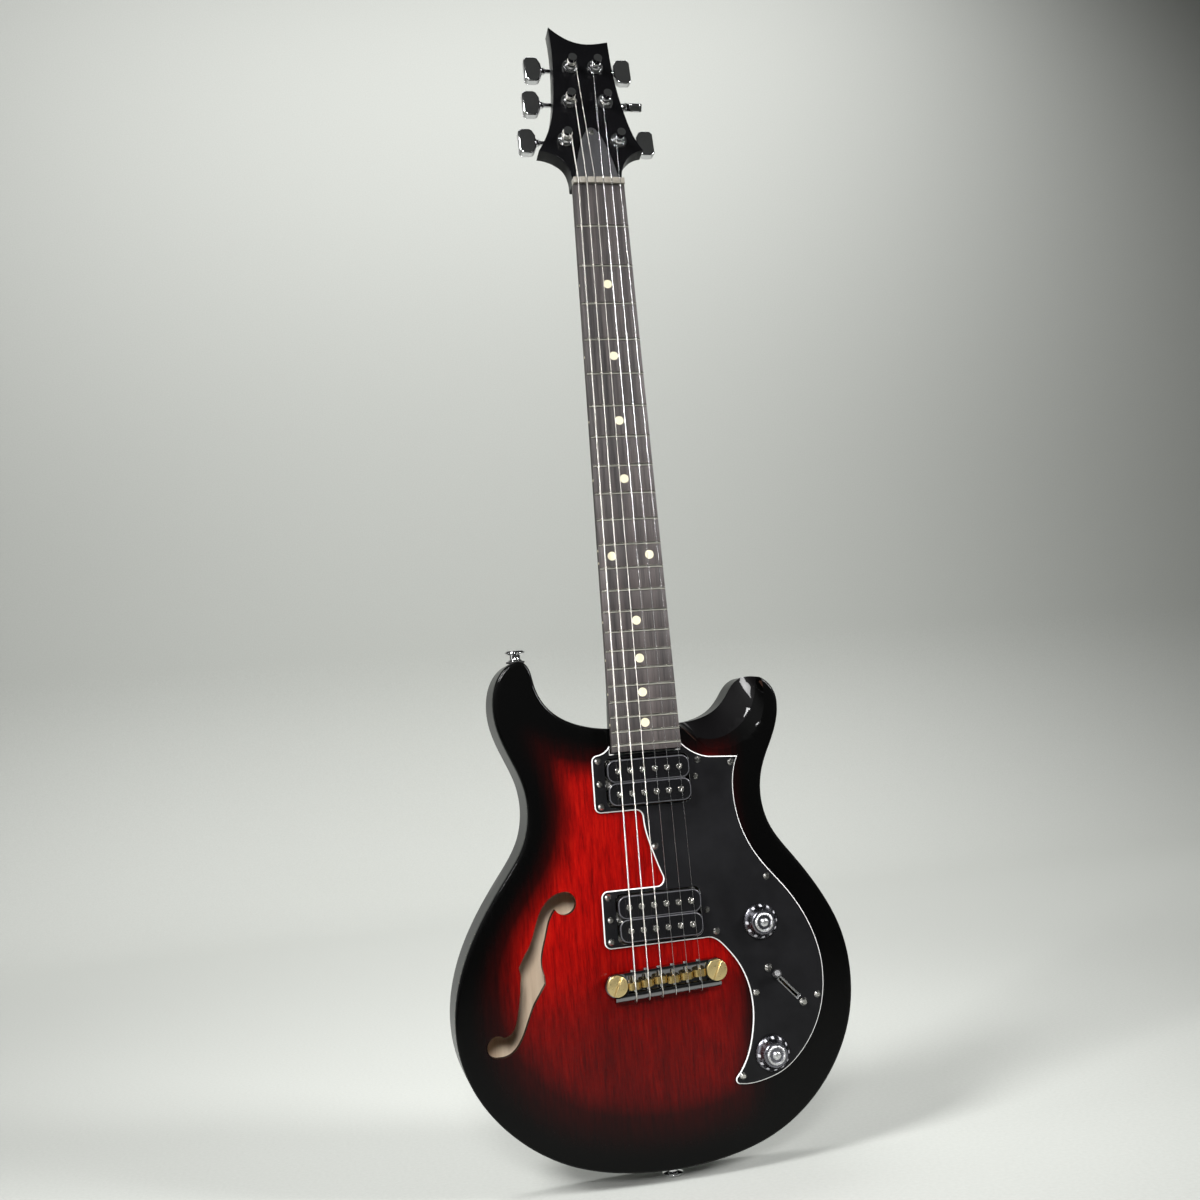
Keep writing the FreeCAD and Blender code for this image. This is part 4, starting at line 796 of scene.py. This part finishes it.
wear(made_from("switch_frame", "selector_frame", "guitar"), steel, slot="steel")
wear(made_from("switch_lever", "selector_blade", "pickup_selector"), nickel, slot="nickel")
wear(made_from("switch_tip", "selector_tip", "pickup_selector"),
     moulded("tip_plastic", (0.025, 0.025, 0.026), 1.5, 0.2, 1.0), slot="tip_black")


# ---- Output jack -------------------------------------------------------------------------
# A chromed cup sunk in the treble side, with the socket for the lead screwed through its
# floor.

wear(made_from("jack_cup", "chrome_jack_cup", "guitar", soften=0.3, angle=45), chrome, slot="chrome")
wear(made_from("output_jack", "lead_socket", "guitar"), nickel, slot="nickel")


# ---- Strap buttons -----------------------------------------------------------------------
# Turned and chromed buttons on the upper horn and the butt end, each screwed down on a
# washer of pressed black felt.

wear(made_from("strap_buttons", "turned_buttons", "guitar", soften=0.3, angle=40), chrome, slot="chrome")
felt, tree, shader = finish_nodes("black_felt", gloss=0.95)
fuzz = grain(tree, 700, (1, 1, 1), 8, 0.8)
tree.links.new(ramp(tree, fuzz, (0.3, (0.008,) * 3), (0.7, (0.05,) * 3)), shader.inputs["Base Color"])
relief(tree, shader, fuzz, 0.9, 0.0004)
wear(made_from("strap_felts", "felt_washers", "guitar"), felt, slot="felt")


# ---- Floor and backdrop ------------------------------------------------------------------
# A plain pale floor that curves up into a plain pale wall behind the guitar.

FLOOR = cad_low.z - 0.5 * MM
WALL, BEND = 2.3, 0.6
sweep_points = [(-3.5, 0.0), (WALL - BEND, 0.0)]
sweep_points += [(WALL - BEND + BEND * math.sin(a), BEND - BEND * math.cos(a))
                 for a in [math.radians(7.5 * i) for i in range(1, 12)]]
sweep_points += [(WALL, BEND), (WALL, 5.0)]
backdrop = bpy.data.meshes.new("studio_sweep")
rows = [[(x, y, FLOOR + z) for x in (-4.0, 4.0)] for y, z in sweep_points]
backdrop.from_pydata(
    [point for row in rows for point in row], [],
    [(2 * i, 2 * i + 1, 2 * i + 3, 2 * i + 2) for i in range(len(rows) - 1)])
backdrop.shade_smooth()
studio = bpy.data.objects.new("studio_sweep", backdrop)
bpy.context.scene.collection.objects.link(studio)
paper, tree, shader = finish_nodes("pale_paper", gloss=0.9)
fibre = grain(tree, 300, (1, 1, 1), 4)
tree.links.new(ramp(tree, fibre, (0.3, (0.48, 0.492, 0.464)), (0.7, (0.52, 0.532, 0.504))),
               shader.inputs["Base Color"])
backdrop.materials.append(paper)


# ---- Light -------------------------------------------------------------------------------
# Soft boxes: a key high on the left, a strip at the far left, a weaker one on the right, a
# small one in front that reaches into the sound hole, and one overhead for the backdrop.

def soft_box(name, spot, aim, size, power, spread=180):
    """An oblong lamp at one spot, aimed at another, with its power in watts."""
    light = bpy.data.lights.new(name, "AREA")
    light.shape = "RECTANGLE"
    light.size, light.size_y = size
    light.energy = power
    light.spread = math.radians(spread)
    lamp = bpy.data.objects.new(name, light)
    bpy.context.scene.collection.objects.link(lamp)
    lamp.location = spot
    lamp.rotation_euler = (Vector(aim) - Vector(spot)).to_track_quat("-Z", "Y").to_euler()


soft_box("key_box", (-1.45, -0.95, 1.75), (-0.05, 0, 0.45), (0.6, 0.8), 7.0, 58)
soft_box("side_strip", (-1.9, -0.15, 0.7), (-0.1, 0, 0.3), (0.4, 1.8), 5)
soft_box("right_box", (1.45, -1.1, 1.15), (0.0, 0, 0.32), (0.5, 0.7), 4.0, 55)
soft_box("fill_box", (-0.6, -2.3, 1.25), (-0.05, 0, 0.35), (0.5, 0.5), 3.2, 45)
soft_box("wall_box", (0.2, 0.9, 3.2), (0.0, 2.3, 0.5), (3.2, 0.8), 52, 110)
world = bpy.data.worlds.new("studio_air")
bpy.context.scene.world = world
world.use_nodes = True
world.node_tree.nodes["Background"].inputs["Color"].default_value = (0.9, 0.93, 0.9, 1)
world.node_tree.nodes["Background"].inputs["Strength"].default_value = 0.06


# ---- Camera ------------------------------------------------------------------------------
# In front of the lower bass side, turned a little towards the treble and tipped clockwise.

camera_data = bpy.data.cameras.new("front_camera")
camera_data.lens = 39.63
camera_data.sensor_width = 36
camera = bpy.data.objects.new("front_camera", camera_data)
bpy.context.scene.collection.objects.link(camera)
RIGHT = Vector((0.97301187, -0.21570962, -0.08195888))
UP = Vector((0.05571918, -0.12503801, 0.99058612))
LOOK = Vector((0.22392693, 0.96841874, 0.10964431))
turn = Matrix((RIGHT, UP, -LOOK)).transposed()
camera.matrix_world = Matrix.Translation((-0.2604, -1.0380, 0.3248)) @ turn.to_4x4()
bpy.context.scene.camera = camera
bpy.context.scene.view_settings.view_transform = "Standard"
